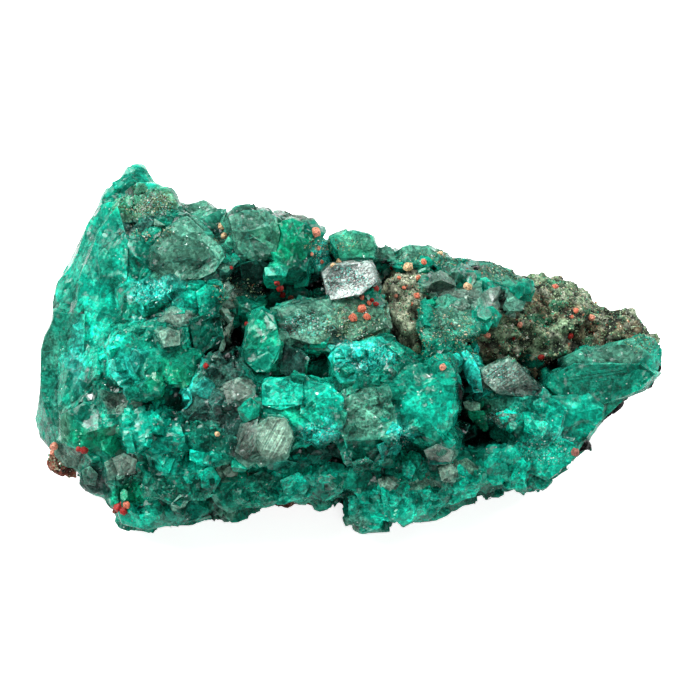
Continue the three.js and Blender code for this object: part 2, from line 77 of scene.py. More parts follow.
# Colours of the stone, linear.
TINTS = {
    "plain": (0.004, 0.200, 0.128),
    "bright": (0.003, 0.400, 0.270),
    "cyan": (0.020, 0.480, 0.380),
    "green": (0.004, 0.270, 0.130),
    "deep": (0.001, 0.080, 0.050),
    # a grey-green that also paints the sheen of the soft light on upward faces
    "grey_sheen": (0.060, 0.180, 0.125),
    "ash": (0.120, 0.165, 0.135),
    # also painted shade between the crystals
    "dark": (0.014, 0.034, 0.030),
    "olive": (0.070, 0.120, 0.060),
    "pale": (0.250, 0.400, 0.310),
    "white": (0.300, 0.340, 0.320),
    # painted shade of deep hollows
    "black": (0.002, 0.006, 0.006),
}

# pale of the cracks and of the painted highlight along edges
PALE_CRACK_AND_HIGHLIGHT = (0.05, 0.62, 0.46, 1.0)
SAND_PALE = (0.10, 0.80, 0.64, 1.0)
# white of the frost's fine crystals and of the painted glints
FROST_AND_GLINT_WHITE = (0.80, 0.92, 0.88, 1.0)
# pale of the painted glints on the rock's chips
ROCK_GLINT = (0.46, 0.50, 0.38, 1.0)
ROCK_GREEN = (0.210, 0.320, 0.190)
ROCK_PALE = (0.400, 0.440, 0.310)
ROCK_RUST = (0.200, 0.045, 0.028)

# Patches of colour on the crystals: tint, place in the window, reach each way, and strength. Grey-green patches
# also paint sheen on upward faces, and dark and black ones also paint shade.
PATCHES = [
    # the slab at the left end
    ("bright", 132, 184, 30, 16, 1.0),
    ("bright", 104, 196, 12, 14, 0.8),
    ("green", 120, 205, 16, 10, 0.6),
    ("plain", 80, 240, 16, 34, 0.8),
    ("bright", 76, 268, 12, 14, 0.7),
    ("deep", 108, 240, 9, 10, 1.0),
    ("plain", 62, 310, 12, 30, 0.7),
    ("bright", 96, 300, 12, 50, 0.9),
    ("cyan", 78, 356, 8, 34, 1.0),
    ("bright", 110, 350, 22, 22, 0.8),
    ("plain", 48, 400, 14, 40, 0.9),
    ("grey_sheen", 50, 350, 8, 18, 0.6),
    # the mound and the great crystal
    ("olive", 146, 203, 28, 14, 1.2),
    ("dark", 140, 228, 24, 11, 1.1),
    ("grey_sheen", 200, 236, 30, 18, 1.3),
    ("plain", 160, 245, 18, 20, 0.8),
    ("grey_sheen", 182, 268, 26, 12, 1.1),
    ("grey_sheen", 202, 206, 24, 7, 1.2),
    ("bright", 208, 230, 16, 12, 1.0),
    ("dark", 222, 275, 14, 12, 1.1),
    ("ash", 234, 292, 10, 9, 1.0),
    # the pair at the back
    ("grey_sheen", 250, 218, 26, 12, 1.2),
    ("grey_sheen", 246, 236, 14, 9, 0.8),
    ("deep", 262, 252, 16, 11, 1.1),
    ("green", 272, 238, 12, 14, 0.7),
    ("ash", 296, 215, 22, 7, 1.1),
    ("green", 288, 250, 14, 10, 0.9),
    ("deep", 296, 270, 14, 12, 1.0),
    ("dark", 254, 278, 16, 13, 1.2),
    ("cyan", 324, 254, 12, 14, 0.9),
    # the speckled square, the wedge and the back edge
    ("white", 350, 281, 27, 17, 1.6),
    ("grey_sheen", 355, 243, 20, 8, 0.9),
    ("pale", 300, 215, 14, 5, 0.6),
    ("green", 360, 248, 12, 8, 0.8),
    ("grey_sheen", 405, 252, 34, 7, 1.0),
    ("grey_sheen", 322, 308, 34, 9, 1.2),
    ("olive", 360, 322, 22, 16, 1.0),
    ("ash", 310, 330, 26, 13, 1.0),
    ("cyan", 340, 345, 16, 8, 0.6),
    ("pale", 391, 300, 8, 26, 1.0),
    # below the great crystal
    ("cyan", 150, 292, 22, 12, 1.0),
    ("bright", 202, 296, 20, 15, 1.1),
    ("ash", 178, 317, 15, 6, 1.0),
    ("deep", 206, 335, 15, 16, 1.1),
    ("plain", 130, 320, 18, 12, 0.8),
    ("pale", 169, 337, 11, 8, 1.0),
    ("plain", 156, 352, 28, 20, 1.1),
    ("green", 160, 374, 28, 10, 0.8),
    ("cyan", 124, 365, 14, 14, 0.7),
    ("cyan", 192, 390, 14, 7, 0.9),
    ("green", 262, 332, 16, 18, 1.2),
    ("deep", 262, 360, 14, 9, 0.8),
    ("pale", 227, 331, 6, 20, 1.0),
    # the middle, whose dark patches are painted shadow between the crystals
    ("dark", 222, 368, 20, 16, 1.6),
    ("dark", 208, 408, 24, 18, 1.5),
    ("ash", 236, 390, 16, 10, 1.0),
    ("dark", 236, 426, 16, 20, 1.1),
    ("dark", 290, 360, 15, 13, 1.3),
    ("bright", 300, 396, 34, 14, 1.2),
    ("green", 298, 410, 16, 14, 0.8),
    ("cyan", 318, 430, 20, 12, 1.1),
    ("pale", 272, 438, 16, 19, 1.3),
    ("ash", 248, 442, 10, 16, 1.0),
    ("deep", 215, 445, 14, 12, 0.6),
    # right of the middle
    ("cyan", 366, 358, 28, 13, 1.2),
    ("plain", 372, 382, 26, 9, 0.6),
    ("grey_sheen", 362, 412, 20, 24, 1.2),
    ("deep", 365, 455, 22, 10, 0.7),
    ("plain", 425, 384, 24, 14, 0.8),
    ("bright", 428, 405, 26, 20, 1.0),
    ("deep", 448, 435, 12, 12, 0.9),
    ("cyan", 402, 432, 10, 10, 0.7),
    ("grey_sheen", 452, 316, 22, 12, 0.9),
    ("plain", 448, 342, 18, 14, 0.8),
    ("ash", 440, 289, 16, 12, 1.1),
    ("ash", 466, 298, 14, 11, 1.1),
    ("ash", 498, 304, 14, 11, 1.1),
    ("grey_sheen", 490, 272, 30, 8, 0.9),
    ("cyan", 468, 268, 10, 6, 0.7),
    # the hollow under the rock, painted black as shade
    ("black", 520, 352, 40, 8, 0.8),
    # the right end
    ("cyan", 470, 372, 11, 20, 1.2),
    ("ash", 504, 376, 22, 13, 1.2),
    ("dark", 528, 390, 16, 8, 1.0),
    ("bright", 532, 414, 34, 18, 1.0),
    ("cyan", 552, 432, 22, 14, 0.6),
    ("grey_sheen", 500, 410, 18, 10, 0.7),
    ("green", 477, 414, 10, 11, 1.2),
    ("bright", 574, 416, 24, 20, 1.1),
    ("bright", 545, 450, 30, 16, 1.1),
    ("bright", 506, 466, 20, 20, 1.1),
    ("grey_sheen", 620, 355, 28, 8, 1.3),
    ("deep", 596, 377, 34, 11, 1.1),
    ("bright", 650, 372, 13, 22, 1.3),
    ("plain", 612, 402, 26, 14, 0.8),
    # the left end of the front
    ("plain", 90, 420, 26, 12, 1.0),
    ("green", 92, 436, 26, 9, 0.9),
    ("pale", 64, 425, 6, 18, 0.7),
    ("ash", 120, 402, 14, 8, 0.8),
    ("ash", 70, 457, 14, 10, 1.0),
    ("dark", 96, 480, 15, 14, 1.0),
    ("ash", 124, 466, 15, 12, 1.0),
    ("green", 132, 492, 14, 10, 1.1),
    # the front edge
    ("bright", 152, 430, 30, 22, 0.9),
    ("bright", 184, 462, 30, 18, 1.0),
    ("deep", 166, 480, 28, 16, 1.1),
    ("pale", 232, 470, 14, 6, 0.9),
    ("plain", 242, 490, 24, 14, 1.2),
    ("bright", 300, 466, 34, 9, 0.7),
    ("bright", 306, 486, 34, 12, 0.8),
    ("bright", 185, 512, 24, 10, 1.0),
    ("grey_sheen", 220, 514, 20, 7, 0.8),
    ("dark", 330, 455, 20, 9, 1.0),
    ("plain", 372, 474, 28, 9, 1.0),
    ("bright", 376, 504, 26, 16, 0.7),
    ("pale", 356, 522, 12, 6, 1.0),
    ("bright", 422, 500, 24, 14, 0.8),
    ("ash", 440, 455, 13, 8, 1.1),
    ("bright", 409, 470, 8, 9, 1.4),
    ("pale", 449, 475, 10, 8, 1.2),
    ("pale", 387, 483, 10, 5, 1.1),
    ("bright", 460, 484, 16, 12, 0.9),
    ("deep", 492, 491, 14, 6, 1.1),
    ("bright", 526, 480, 14, 8, 0.8),
]

# Crystals with fine grooves: place in the window, reach each way, angle of the grooves in degrees and depth.
GROOVED = [
    (272, 438, 17, 20, 62, 1.0),
    (248, 442, 10, 18, 60, 0.8),
    (222, 372, 20, 18, 50, 0.6),
    (206, 410, 24, 16, 40, 0.5),
    (505, 376, 24, 14, 35, 1.0),
    (600, 378, 40, 12, 8, 0.6),
    (78, 270, 40, 80, 62, 0.25),
    (90, 350, 30, 50, 66, 0.45),
    (300, 400, 34, 26, 30, 0.35),
    (620, 402, 30, 14, 25, 0.4),
]

# Places where the stone is broken small, where elsewhere its faces are large and smooth.
RUGGED = [
    (216, 378, 26, 24), (206, 420, 26, 18), (150, 205, 30, 14), (140, 230, 24, 12), (235, 285, 22, 12),
    (330, 320, 44, 22), (370, 365, 36, 18), (372, 410, 26, 26), (150, 296, 26, 14), (405, 300, 20, 36),
    (455, 330, 26, 24), (515, 385, 34, 18), (500, 420, 22, 20), (300, 345, 22, 12), (60, 455, 22, 16),
    (420, 490, 50, 24), (520, 480, 30, 14), (260, 490, 40, 16), (130, 495, 26, 20),
]

# Deep gaps, sunk in and painted black as their shade: place in the window, reach each way.
HOLLOWS = [
    (463, 388, 7, 26),
    (464, 424, 9, 15),
    (472, 440, 12, 9),
    (482, 436, 20, 11),
    (474, 346, 10, 8),
    (505, 352, 24, 5),
    (540, 358, 16, 8),
    (534, 378, 8, 10),
    (556, 364, 9, 12),
    (570, 340, 10, 7),
    (272, 290, 26, 6),
    (312, 284, 14, 10),
    (236, 340, 6, 26),
    (226, 352, 8, 14),
    (335, 462, 16, 6),
    (224, 330, 6, 12),
]

# Single crystals that stand clear of the mass: tint, tone, and corners as a place in the window with the
# height in millimetres over the stone there. Each is the convex body around its corners, rooted in the stone.
SINGLES = [
    ("white", 1.35, [(322, 272, 0.5), (331, 264, 0.6), (370, 262, 0.7), (377, 282, 0.6), (361, 294, 0.5),
                    (331, 300, 0.4)]),
    ("grey_sheen", 0.85, [(277, 309, 0.3), (300, 303, 0.4), (345, 296, 0.6), (372, 297, 0.6), (384, 310, 0.6),
                   (384, 328, 0.4), (350, 342, 0.3), (312, 344, 0.2), (286, 336, 0.1)]),
    ("plain", 0.9, [(252, 314, 0.4), (262, 310, 0.7), (274, 316, 0.7), (277, 328, 1.0), (281, 345, 0.8),
                    (278, 358, 0.4), (268, 371, 0.1), (256, 372, 0.0), (246, 362, 0.4), (243, 350, 0.6),
                    (248, 332, 0.8)]),
    ("dark", 1.2, [(281, 350, 0.5), (286, 345, 0.8), (299, 351, 0.8), (305, 357, 0.5), (304, 372, 0.1),
                   (290, 378, 0.0), (280, 372, 0.2)]),
    ("pale", 0.9, [(228, 314, 0.5), (236, 311, 0.9), (232, 325, 0.8), (224, 350, 0.5), (219, 352, 0.3),
                   (222, 338, 0.6)]),
    ("bright", 0.75, [(262, 384, 0.3), (268, 379, 0.4), (303, 378, 0.5), (302, 404, 0.7), (280, 410, 0.2),
                      (262, 405, 0.1)]),
    ("bright", 0.9, [(302, 379, 0.3), (330, 385, 0.6), (344, 398, 0.5), (342, 416, 0.1), (322, 428, 0.0),
                     (300, 414, 0.3), (314, 398, 0.8)]),
    ("ash", 1.0, [(222, 384, 0.3), (236, 378, 0.6), (252, 380, 0.6), (256, 392, 0.5), (248, 408, 0.1),
                  (228, 406, 0.1)]),
    ("pale", 0.9, [(256, 425, 0.4), (268, 418, 0.6), (286, 419, 0.7), (293, 437, 0.4), (286, 455, 0.2),
                   (262, 461, 0.0), (252, 446, 0.3)]),
    ("ash", 0.9, [(244, 424, 0.2), (258, 419, 0.4), (255, 448, 0.3), (246, 459, 0.0), (235, 451, 0.1)]),
    ("ash", 0.9, [(481, 370, 0.6), (509, 358, 1.0), (514, 361, 1.0), (530, 379, 0.5), (546, 396, 0.0),
                   (530, 398, 0.0), (497, 393, 0.4), (484, 382, 0.6)]),
    ("cyan", 0.9, [(459, 353, 0.3), (467, 350, 0.6), (474, 360, 0.9), (480, 372, 0.8), (483, 392, 0.3),
                   (474, 393, 0.0), (466, 378, 0.3), (461, 362, 0.3)]),
    ("pale", 0.8, [(463, 402, 0.5), (470, 400, 0.7), (480, 403, 0.8), (480, 410, 0.7), (470, 411, 0.6),
                   (465, 408, 0.4)]),
    ("green", 1.1, [(468, 411, 0.6), (473, 410, 0.7), (484, 411, 0.8), (487, 418, 0.9), (488, 429, 0.5),
                    (485, 431, 0.3), (474, 423, 0.5), (469, 417, 0.5)]),
    ("deep", 1.1, [(488, 426, 0.4), (500, 426, 0.7), (514, 436, 0.6), (514, 441, 0.2), (503, 446, 0.1),
                   (490, 437, 0.2)]),
    ("pale", 0.6, [(492, 417, 0.4), (503, 413, 0.6), (518, 414, 0.6), (515, 420, 0.4), (506, 428, 0.2),
                   (495, 423, 0.3)]),
    ("plain", 1.0, [(519, 359, 0.3), (527, 354, 0.6), (536, 357, 0.6), (543, 364, 0.3), (535, 372, 0.1),
                    (524, 368, 0.2)]),
    ("plain", 0.8, [(552, 374, 0.3), (575, 364, 0.7), (640, 364, 0.8), (655, 374, 0.5), (640, 390, 0.2),
                    (603, 404, 0.3), (562, 398, 0.3), (548, 388, 0.1)]),
    ("grey_sheen", 0.9, [(180, 218, 0.3), (187, 216, 0.4), (222, 249, 0.6), (225, 257, 0.3), (214, 272, 0.3),
                   (197, 280, 0.2), (170, 281, 0.2), (150, 268, 0.2), (152, 246, 0.5), (166, 229, 0.5)]),
    ("grey_sheen", 0.9, [(229, 217, 0.2), (244, 210, 0.3), (264, 210, 0.3), (276, 217, 0.3), (268, 226, 1.0),
                   (246, 232, 1.1), (232, 230, 0.6), (280, 234, 0.4), (276, 252, 0.0), (258, 262, -0.2),
                   (238, 256, -0.2)]),
    ("green", 0.9, [(278, 222, 0.2), (292, 218, 0.4), (306, 224, 0.3), (312, 240, 0.3), (306, 258, 0.0),
                    (290, 268, -0.2), (276, 256, 0.0), (284, 238, 0.9), (298, 236, 0.9)]),
    ("dark", 0.9, [(240, 264, 0.3), (256, 260, 0.7), (270, 264, 0.6), (273, 288, 0.2), (257, 296, 0.0),
                   (243, 286, 0.1)]),
    ("plain", 0.9, [(196, 292, 0.3), (206, 284, 0.6), (218, 287, 0.6), (223, 300, 0.5), (216, 315, 0.1),
                    (200, 316, 0.2)]),
    ("deep", 1.0, [(189, 320, 0.4), (204, 315, 0.7), (220, 318, 0.7), (224, 338, 0.3), (212, 352, 0.0),
                   (194, 348, 0.2)]),
    ("pale", 0.7, [(158, 332, 0.4), (168, 327, 0.6), (180, 333, 0.6), (180, 345, 0.4), (164, 347, 0.3)]),
    ("grey_sheen", 0.9, [(82, 470, 0.5), (90, 466, 0.8), (98, 474, 0.7), (95, 486, 0.3), (84, 484, 0.3)]),
    ("ash", 1.1, [(112, 458, 0.5), (124, 453, 0.8), (137, 460, 0.7), (135, 474, 0.3), (119, 476, 0.3)]),
    ("bright", 1.1, [(402, 462, 0.4), (410, 460, 0.8), (416, 468, 0.8), (412, 478, 0.4), (403, 476, 0.3)]),
    ("pale", 1.0, [(438, 468, 0.5), (450, 464, 0.9), (458, 471, 0.8), (455, 482, 0.4), (442, 481, 0.4)]),
    ("ash", 1.2, [(424, 450, 0.4), (438, 444, 0.7), (452, 451, 0.7), (450, 462, 0.3), (430, 465, 0.2)]),
    ("pale", 0.9, [(222, 470, 0.4), (232, 465, 0.6), (243, 469, 0.5), (238, 477, 0.2), (226, 477, 0.2)]),
    ("deep", 1.2, [(246, 478, 0.4), (262, 470, 0.7), (276, 478, 0.5), (268, 492, 0.1), (250, 492, 0.1)]),
    ("bright", 0.9, [(280, 480, 0.4), (298, 472, 0.7), (312, 482, 0.5), (304, 496, 0.1), (284, 494, 0.2)]),
    ("dark", 1.2, [(262, 458, 0.3), (285, 460, 0.6), (300, 463, 0.4), (290, 473, 0.1), (268, 469, 0.1)]),
    ("pale", 0.6, [(318, 478, 0.4), (330, 474, 0.6), (340, 482, 0.5), (334, 492, 0.2), (320, 490, 0.2)]),
    ("bright", 1.1, [(200, 472, 0.4), (211, 465, 0.7), (221, 479, 0.5), (214, 492, 0.1), (202, 488, 0.2)]),
    ("pale", 0.8, [(171, 504, 0.4), (180, 494, 0.6), (189, 500, 0.5), (182, 512, 0.2), (174, 511, 0.2)]),
    ("cyan", 0.9, [(378, 445, 0.3), (392, 438, 0.6), (402, 446, 0.5), (396, 460, 0.1), (382, 460, 0.1)]),
    ("deep", 1.0, [(352, 462, 0.3), (368, 458, 0.6), (380, 466, 0.4), (370, 476, 0.1), (355, 474, 0.1)]),
    ("pale", 0.7, [(378, 479, 0.4), (388, 477, 0.7), (397, 484, 0.7), (390, 491, 0.3), (379, 488, 0.3)]),
]
SINGLE_ROOT = 2.0  # how deep a single crystal reaches into the stone, mm
SINGLE_SHADE = 6.0  # how far around it the stone is darker, tenths of a millimetre

# Large unbroken crystals: their faces stay whole.
CALM = [
    (596, 388, 80, 56), (540, 452, 40, 26), (350, 280, 30, 20), (272, 438, 20, 22), (200, 240, 38, 26),
    (272, 240, 34, 24), (300, 405, 44, 30), (425, 400, 34, 34), (365, 425, 24, 24), (152, 356, 34, 26),
    (90, 425, 30, 20), (262, 338, 18, 26), (505, 378, 28, 14), (70, 350, 34, 90), (110, 250, 30, 60),
]

# Places with a frosting of fine white crystals.
FROSTED = [
    (372, 358, 32, 16), (318, 432, 20, 10), (545, 450, 28, 14), (400, 435, 12, 12), (350, 281, 26, 16),
    (150, 292, 24, 12), (505, 415, 20, 10), (310, 325, 26, 14), (150, 203, 28, 14), (324, 254, 12, 14),
    (500, 374, 20, 10),
]

# Places where grit of the rock is grown into the crystals.
GRITTY = [
    (147, 203, 26, 13),
    (150, 232, 26, 10),
    (235, 290, 26, 12),
    (405, 300, 22, 40),
    (352, 322, 30, 18),
    (330, 244, 30, 8),
    (440, 258, 40, 8),
    (450, 335, 34, 26),
    (500, 272, 34, 10),
    (520, 330, 40, 30),
    (640, 342, 16, 10),
]
SPECKLED = (350, 280, 28, 18)
FRONT_BAND = (290, 482, 130, 26)  # the low front edge, where the faces are small
PALE_STRIP = (408, 300, 26, 44)  # bare rock behind the middle

# Blotches on the rock: size in mm, seed and colour.
ROCK_BLOTCHES = [
    (2.8, 77, (0.210, 0.165, 0.095)),
    (1.6, 78, (0.045, 0.200, 0.105)),
    (1.1, 79, (0.020, 0.028, 0.020)),
    (0.8, 80, (0.340, 0.380, 0.280)),
]
# Grains laid flush in the speckled square: mostly black as the painted shade of its pits, some grey and pale.
PIT_TINTS = [(0.012, 0.015, 0.015), (0.060, 0.070, 0.065), (0.500, 0.540, 0.510)]
PIT_CHANCES = (0.70, 0.20, 0.10)
SUGAR_TINTS = [(0.75, 0.85, 0.80), (0.30, 0.62, 0.50), (0.05, 0.35, 0.25)]
SUGAR_CHANCES = (0.20, 0.35, 0.45)
CRUMB_TINTS = ("bright", "plain", "green", "cyan", "deep", "grey_sheen", "ash", "pale")
CRUMB_CHANCES = (0.26, 0.24, 0.14, 0.10, 0.12, 0.06, 0.05, 0.03)
GRIT_TINTS = [
    (0.060, 0.100, 0.050),
    (0.140, 0.240, 0.120),
    (0.260, 0.370, 0.210),
    (0.400, 0.340, 0.220),
    (0.020, 0.280, 0.150),
    (0.260, 0.100, 0.050),
    (0.008, 0.010, 0.008),
    (0.620, 0.680, 0.560),
]
GRIT_CHANCES = (0.14, 0.20, 0.20, 0.10, 0.12, 0.03, 0.14, 0.07)

# Rounded orange and cream grains: place in the window, width in mm, kind.
GRAINS = [
    (353, 318, 1.05, "orange"), (362, 309, 1.1, "orange"), (367, 317, 0.95, "orange"),
    (362, 298, 0.6, "orange"), (375, 289, 0.9, "red"), (369, 303, 0.6, "orange"), (376, 304, 0.7, "red"),
    (418, 278, 0.7, "orange"), (417, 296, 0.8, "orange"), (424, 262, 0.85, "orange"),
    (392, 268, 0.6, "red"), (408, 267, 1.2, "cream"), (468, 287, 1.05, "cream"), (340, 262, 1.0, "cream"),
    (333, 266, 0.7, "cream"), (443, 367, 0.8, "peach"), (487, 335, 0.9, "peach"), (592, 318, 0.85, "peach"),
    (555, 287, 0.8, "orange"), (576, 311, 0.7, "orange"), (520, 325, 0.7, "peach"),
    (572, 317, 0.5, "orange"), (440, 254, 0.8, "cream"), (514, 338, 0.5, "red"), (280, 288, 0.9, "red"),
    (283, 295, 0.8, "red"), (291, 298, 0.7, "orange"), (277, 283, 0.7, "red"), (318, 248, 0.7, "peach"),
    (312, 254, 0.5, "peach"), (316, 232, 1.2, "peach"), (322, 262, 0.5, "orange"), (217, 434, 0.6, "cream"),
    (247, 324, 0.6, "red"), (206, 366, 0.7, "red"), (222, 226, 0.9, "cream"), (224, 236, 0.8, "cream"),
    (231, 268, 0.5, "red"), (570, 336, 0.8, "red"), (541, 357, 0.8, "red"), (399, 278, 0.55, "orange"),
    (404, 288, 0.5, "orange"), (396, 296, 0.5, "peach"), (411, 304, 0.5, "orange"), (84, 450, 1.0, "red"),
    (79, 449, 0.7, "red"), (54, 446, 1.0, "peach"), (53, 452, 0.8, "peach"), (118, 508, 1.1, "red"),
    (124, 511, 1.0, "red"), (127, 505, 0.9, "orange"), (121, 504, 0.8, "red"), (575, 452, 1.0, "rust"),
    (372, 300, 0.5, "red"),
]
GRAIN_TINTS = {
    "orange": (0.520, 0.135, 0.075),
    "red": (0.260, 0.012, 0.008),
    "peach": (0.600, 0.230, 0.150),
    "cream": (0.640, 0.430, 0.240),
    "rust": (0.300, 0.120, 0.090),
}

# The stone's outline in the window, clockwise from its top left tip.
RIM = [
    (127, 168), (142, 168), (154, 183), (168, 190), (186, 202), (204, 202), (222, 213), (234, 217),
    (240, 210), (264, 207), (290, 209), (306, 213), (316, 222), (322, 239), (345, 236), (372, 239),
    (400, 248), (432, 250), (456, 259), (494, 261), (514, 271), (532, 281), (566, 288), (590, 294),
    (610, 316), (634, 322), (648, 335), (662, 345), (664, 364), (655, 383), (636, 392), (620, 405),
    (604, 420), (590, 440), (574, 462), (556, 476), (534, 490), (512, 492), (490, 498), (458, 502),
    (440, 512), (420, 523), (396, 522), (362, 531), (348, 524), (340, 504), (312, 502), (276, 507),
    (252, 510), (230, 519), (204, 522), (182, 525), (164, 529), (150, 528), (118, 522), (112, 505),
    (106, 497), (84, 492), (70, 476), (58, 464), (48, 446), (38, 434), (35, 418), (38, 400), (41, 380),
    (41, 350), (44, 336), (52, 320), (53, 300), (58, 280), (68, 266), (76, 252), (82, 238), (88, 222),
    (97, 210), (101, 196), (111, 182),
]

FLOOR_HALF = 1.5
# Lights, in metres and watts: name, place, width and power.
SOFTBOXES = [
    ("left_softbox", (-0.30, 0.10, 0.30), 0.20, 2.5),
    ("right_softbox", (0.30, 0.14, 0.24), 0.16, 1.1),
    ("front_softbox", (0.04, -0.26, 0.34), 0.12, 0.35),
    ("left_spark", (-0.10, 0.22, 0.38), 0.035, 0.45),
    ("right_spark", (0.12, 0.16, 0.42), 0.035, 0.35),
]


def window_place(points):
    """Where points are seen in the window: across and down."""
    ray = points - VIEWER
    scale = VIEW_DISTANCE * 10.0 / -(ray @ TO_VIEWER)
    across = WINDOW_MIDDLE + (ray @ VIEW_RIGHT) * scale
    down = WINDOW_MIDDLE - (ray @ VIEW_UP) * scale
    return across, down


def window_ray(across, down):
    """The direction from the viewer through a place in the window."""
    aside = VIEW_RIGHT * (across - WINDOW_MIDDLE) / 10.0
    above = VIEW_UP * (WINDOW_MIDDLE - down) / 10.0
    ray = VIEW_AIM + aside + above - VIEWER
    return ray / np.linalg.norm(ray)


def unit(vectors):
    length = np.linalg.norm(vectors, axis=-1, keepdims=True)
    return vectors / np.maximum(length, 1e-12)


def smooth_step(low, high, value):
    t = np.clip((value - low) / (high - low), 0.0, 1.0)
    return t * t * (3.0 - 2.0 * t)


def scrambled(cells, seed):
    """A repeatable number from 0 to 1 for each row of whole numbers."""
    value = np.full(len(cells), seed * 7919 + 12345, np.uint64)
    for column in range(cells.shape[1]):
        part = cells[:, column].astype(np.int64).astype(np.uint64)
        value = (value ^ (part * np.uint64(0x9E3779B97F4A7C15))) * np.uint64(0xBF58476D1CE4E5B9)
        value ^= value >> np.uint64(29)
    value = value * np.uint64(0x94D049BB133111EB)
    value ^= value >> np.uint64(32)
    return (value & np.uint64(0xFFFFFF)).astype(np.float64) / 0xFFFFFF


def nearest_cells(points, size, seed):
    """The two nearest of many scattered centres, one to each box of that size: boxes, places, distances."""
    home = np.floor(points / size).astype(np.int64)
    distance = np.full((2, len(points)), np.inf)
    cell = np.stack([home, home])
    centre = np.stack([points, points])
    for shift in np.ndindex(3, 3, 3):
        box = home + (np.array(shift) - 1)
        jitter = np.stack([scrambled(box, seed + k) for k in range(3)], axis=1)
        place = (box + jitter) * size
        far = np.linalg.norm(points - place, axis=1)
        first = far < distance[0]
        second = ~first & (far < distance[1])
        distance[1, first] = distance[0, first]
        cell[1, first] = cell[0, first]
        centre[1, first] = centre[0, first]
        for rank, chosen in ((0, first), (1, second)):
            distance[rank, chosen] = far[chosen]
            cell[rank, chosen] = box[chosen]
            centre[rank, chosen] = place[chosen]
    return cell, centre, distance


def soft_noise(points, size, seed):
    """Smooth noise from -1 to 1, with features of about that size."""
    q = points / size
    home = np.floor(q).astype(np.int64)
    t = q - home
    t = t * t * (3.0 - 2.0 * t)
    total = np.zeros(len(points))
    for corner in np.ndindex(2, 2, 2):
        step = np.array(corner)
        weight = np.prod(np.where(step == 1, t, 1.0 - t), axis=1)
        total += weight * scrambled(home + step, seed)
    return total * 2.0 - 1.0


def broken_relief(points, size, slope, lift, seed, squeeze=None):
    """Heights of a surface split into small flat faces, each with its own tilt and level, and their tones."""
    q = points if squeeze is None else points @ squeeze
    cells, centres, distance = nearest_cells(q, size, seed)
    heights = []
    for cell, centre in zip(cells, centres):
        tilt = unit(np.stack([scrambled(cell, seed + 10 + k) - 0.5 for k in range(3)], axis=1))
        level = (scrambled(cell, seed + 20) - 0.5) * 2.0 * lift
        heights.append(((q - centre) * tilt).sum(1) * slope + level)
    own = 0.5 + 0.5 * smooth_step(0.0, STEP_WIDTH, distance[1] - distance[0])
    return heights[0] * own + heights[1] * (1.0 - own), scrambled(cells[0], seed + 30)


def read_node(name):
    """A node's corners in millimetres and its triangles, with corners that coincide joined."""
    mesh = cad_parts[name].data
    mesh.calc_loop_triangles()
    raw = np.zeros(len(mesh.vertices) * 3, np.float32)
    mesh.vertices.foreach_get("co", raw)
    raw = raw.reshape(-1, 3).astype(np.float64) / MM
    faces = np.zeros(len(mesh.loop_triangles) * 3, np.int32)
    mesh.loop_triangles.foreach_get("vertices", faces)
    _, first, joined = np.unique(np.round(raw, 3), axis=0, return_index=True, return_inverse=True)
    faces = joined.reshape(-1)[faces].reshape(-1, 3)
    whole = (faces[:, 0] != faces[:, 1]) & (faces[:, 1] != faces[:, 2]) & (faces[:, 2] != faces[:, 0])
    return raw[first], faces[whole]


def face_normals(points, faces):
    a, b, c = (points[faces[:, k]] for k in range(3))
    return np.cross(b - a, c - a)


def corner_normals(points, faces):
    cross = face_normals(points, faces)
    total = np.zeros_like(points)
    for k in range(3):
        np.add.at(total, faces[:, k], cross)
    return unit(total)


def refined(points, faces, owner, longest):
    """Halves edges until none is longer than longest(middles) allows. owner goes with each face."""
    while True:
        sides = np.stack([faces, np.roll(faces, -1, axis=1)], axis=2).reshape(-1, 2)
        sides.sort(axis=1)
        key = sides[:, 0].astype(np.int64) * len(points) + sides[:, 1]
        edges, edge_of = np.unique(key, return_inverse=True)
        ends = np.stack([edges // len(points), edges % len(points)], axis=1)
        middles = (points[ends[:, 0]] + points[ends[:, 1]]) / 2.0
        span = np.linalg.norm(points[ends[:, 0]] - points[ends[:, 1]], axis=1)
        split = span > longest(middles)
        if not split.any():
            return points, faces, owner
        number = np.full(len(edges), -1)
        number[split] = len(points) + np.arange(split.sum())
        points = np.vstack([points, middles[split]])
        cut = number[edge_of.reshape(-1, 3)]
        count = (cut >= 0).sum(1)
        # turn each face so that its first edge is a split one, and with two of them its last edge is whole
        turn = np.where(count == 1, np.argmax(cut >= 0, axis=1), 0)
        turn = np.where(count == 2, (np.argmin(cut >= 0, axis=1) + 1) % 3, turn)
        order = (np.arange(3)[None, :] + turn[:, None]) % 3
        f = np.take_along_axis(faces, order, axis=1)
        m = np.take_along_axis(cut, order, axis=1)
        new_faces, new_owner = [], []

        def add(which, *triangles):
            for triangle in triangles:
                new_faces.append(np.stack(triangle, axis=1)[which])
                new_owner.append(owner[which])

        a, b, c = f[:, 0], f[:, 1], f[:, 2]
        ab, bc, ca = m[:, 0], m[:, 1], m[:, 2]
        add(count == 0, (a, b, c))
        add(count == 1, (a, ab, c), (ab, b, c))
        add(count == 2, (ab, b, bc), (a, ab, bc), (a, bc, c))
        add(count == 3, (a, ab, ca), (ab, b, bc), (ca, bc, c), (ab, bc, ca))
        faces = np.vstack(new_faces)
        owner = np.concatenate(new_owner)


def relaxed(points, faces, rounds, amount):
    """Rounds edges by moving each corner towards the middle of its neighbours."""
    ends = np.concatenate([faces[:, [0, 1]], faces[:, [1, 2]], faces[:, [2, 0]]])
    count = np.bincount(ends[:, 0], minlength=len(points)).astype(float)
    for _ in range(rounds):
        sums = [np.bincount(ends[:, 0], points[ends[:, 1], k], len(points)) for k in range(3)]
        points = points + (np.stack(sums, axis=1) / count[:, None] - points) * amount
    return points


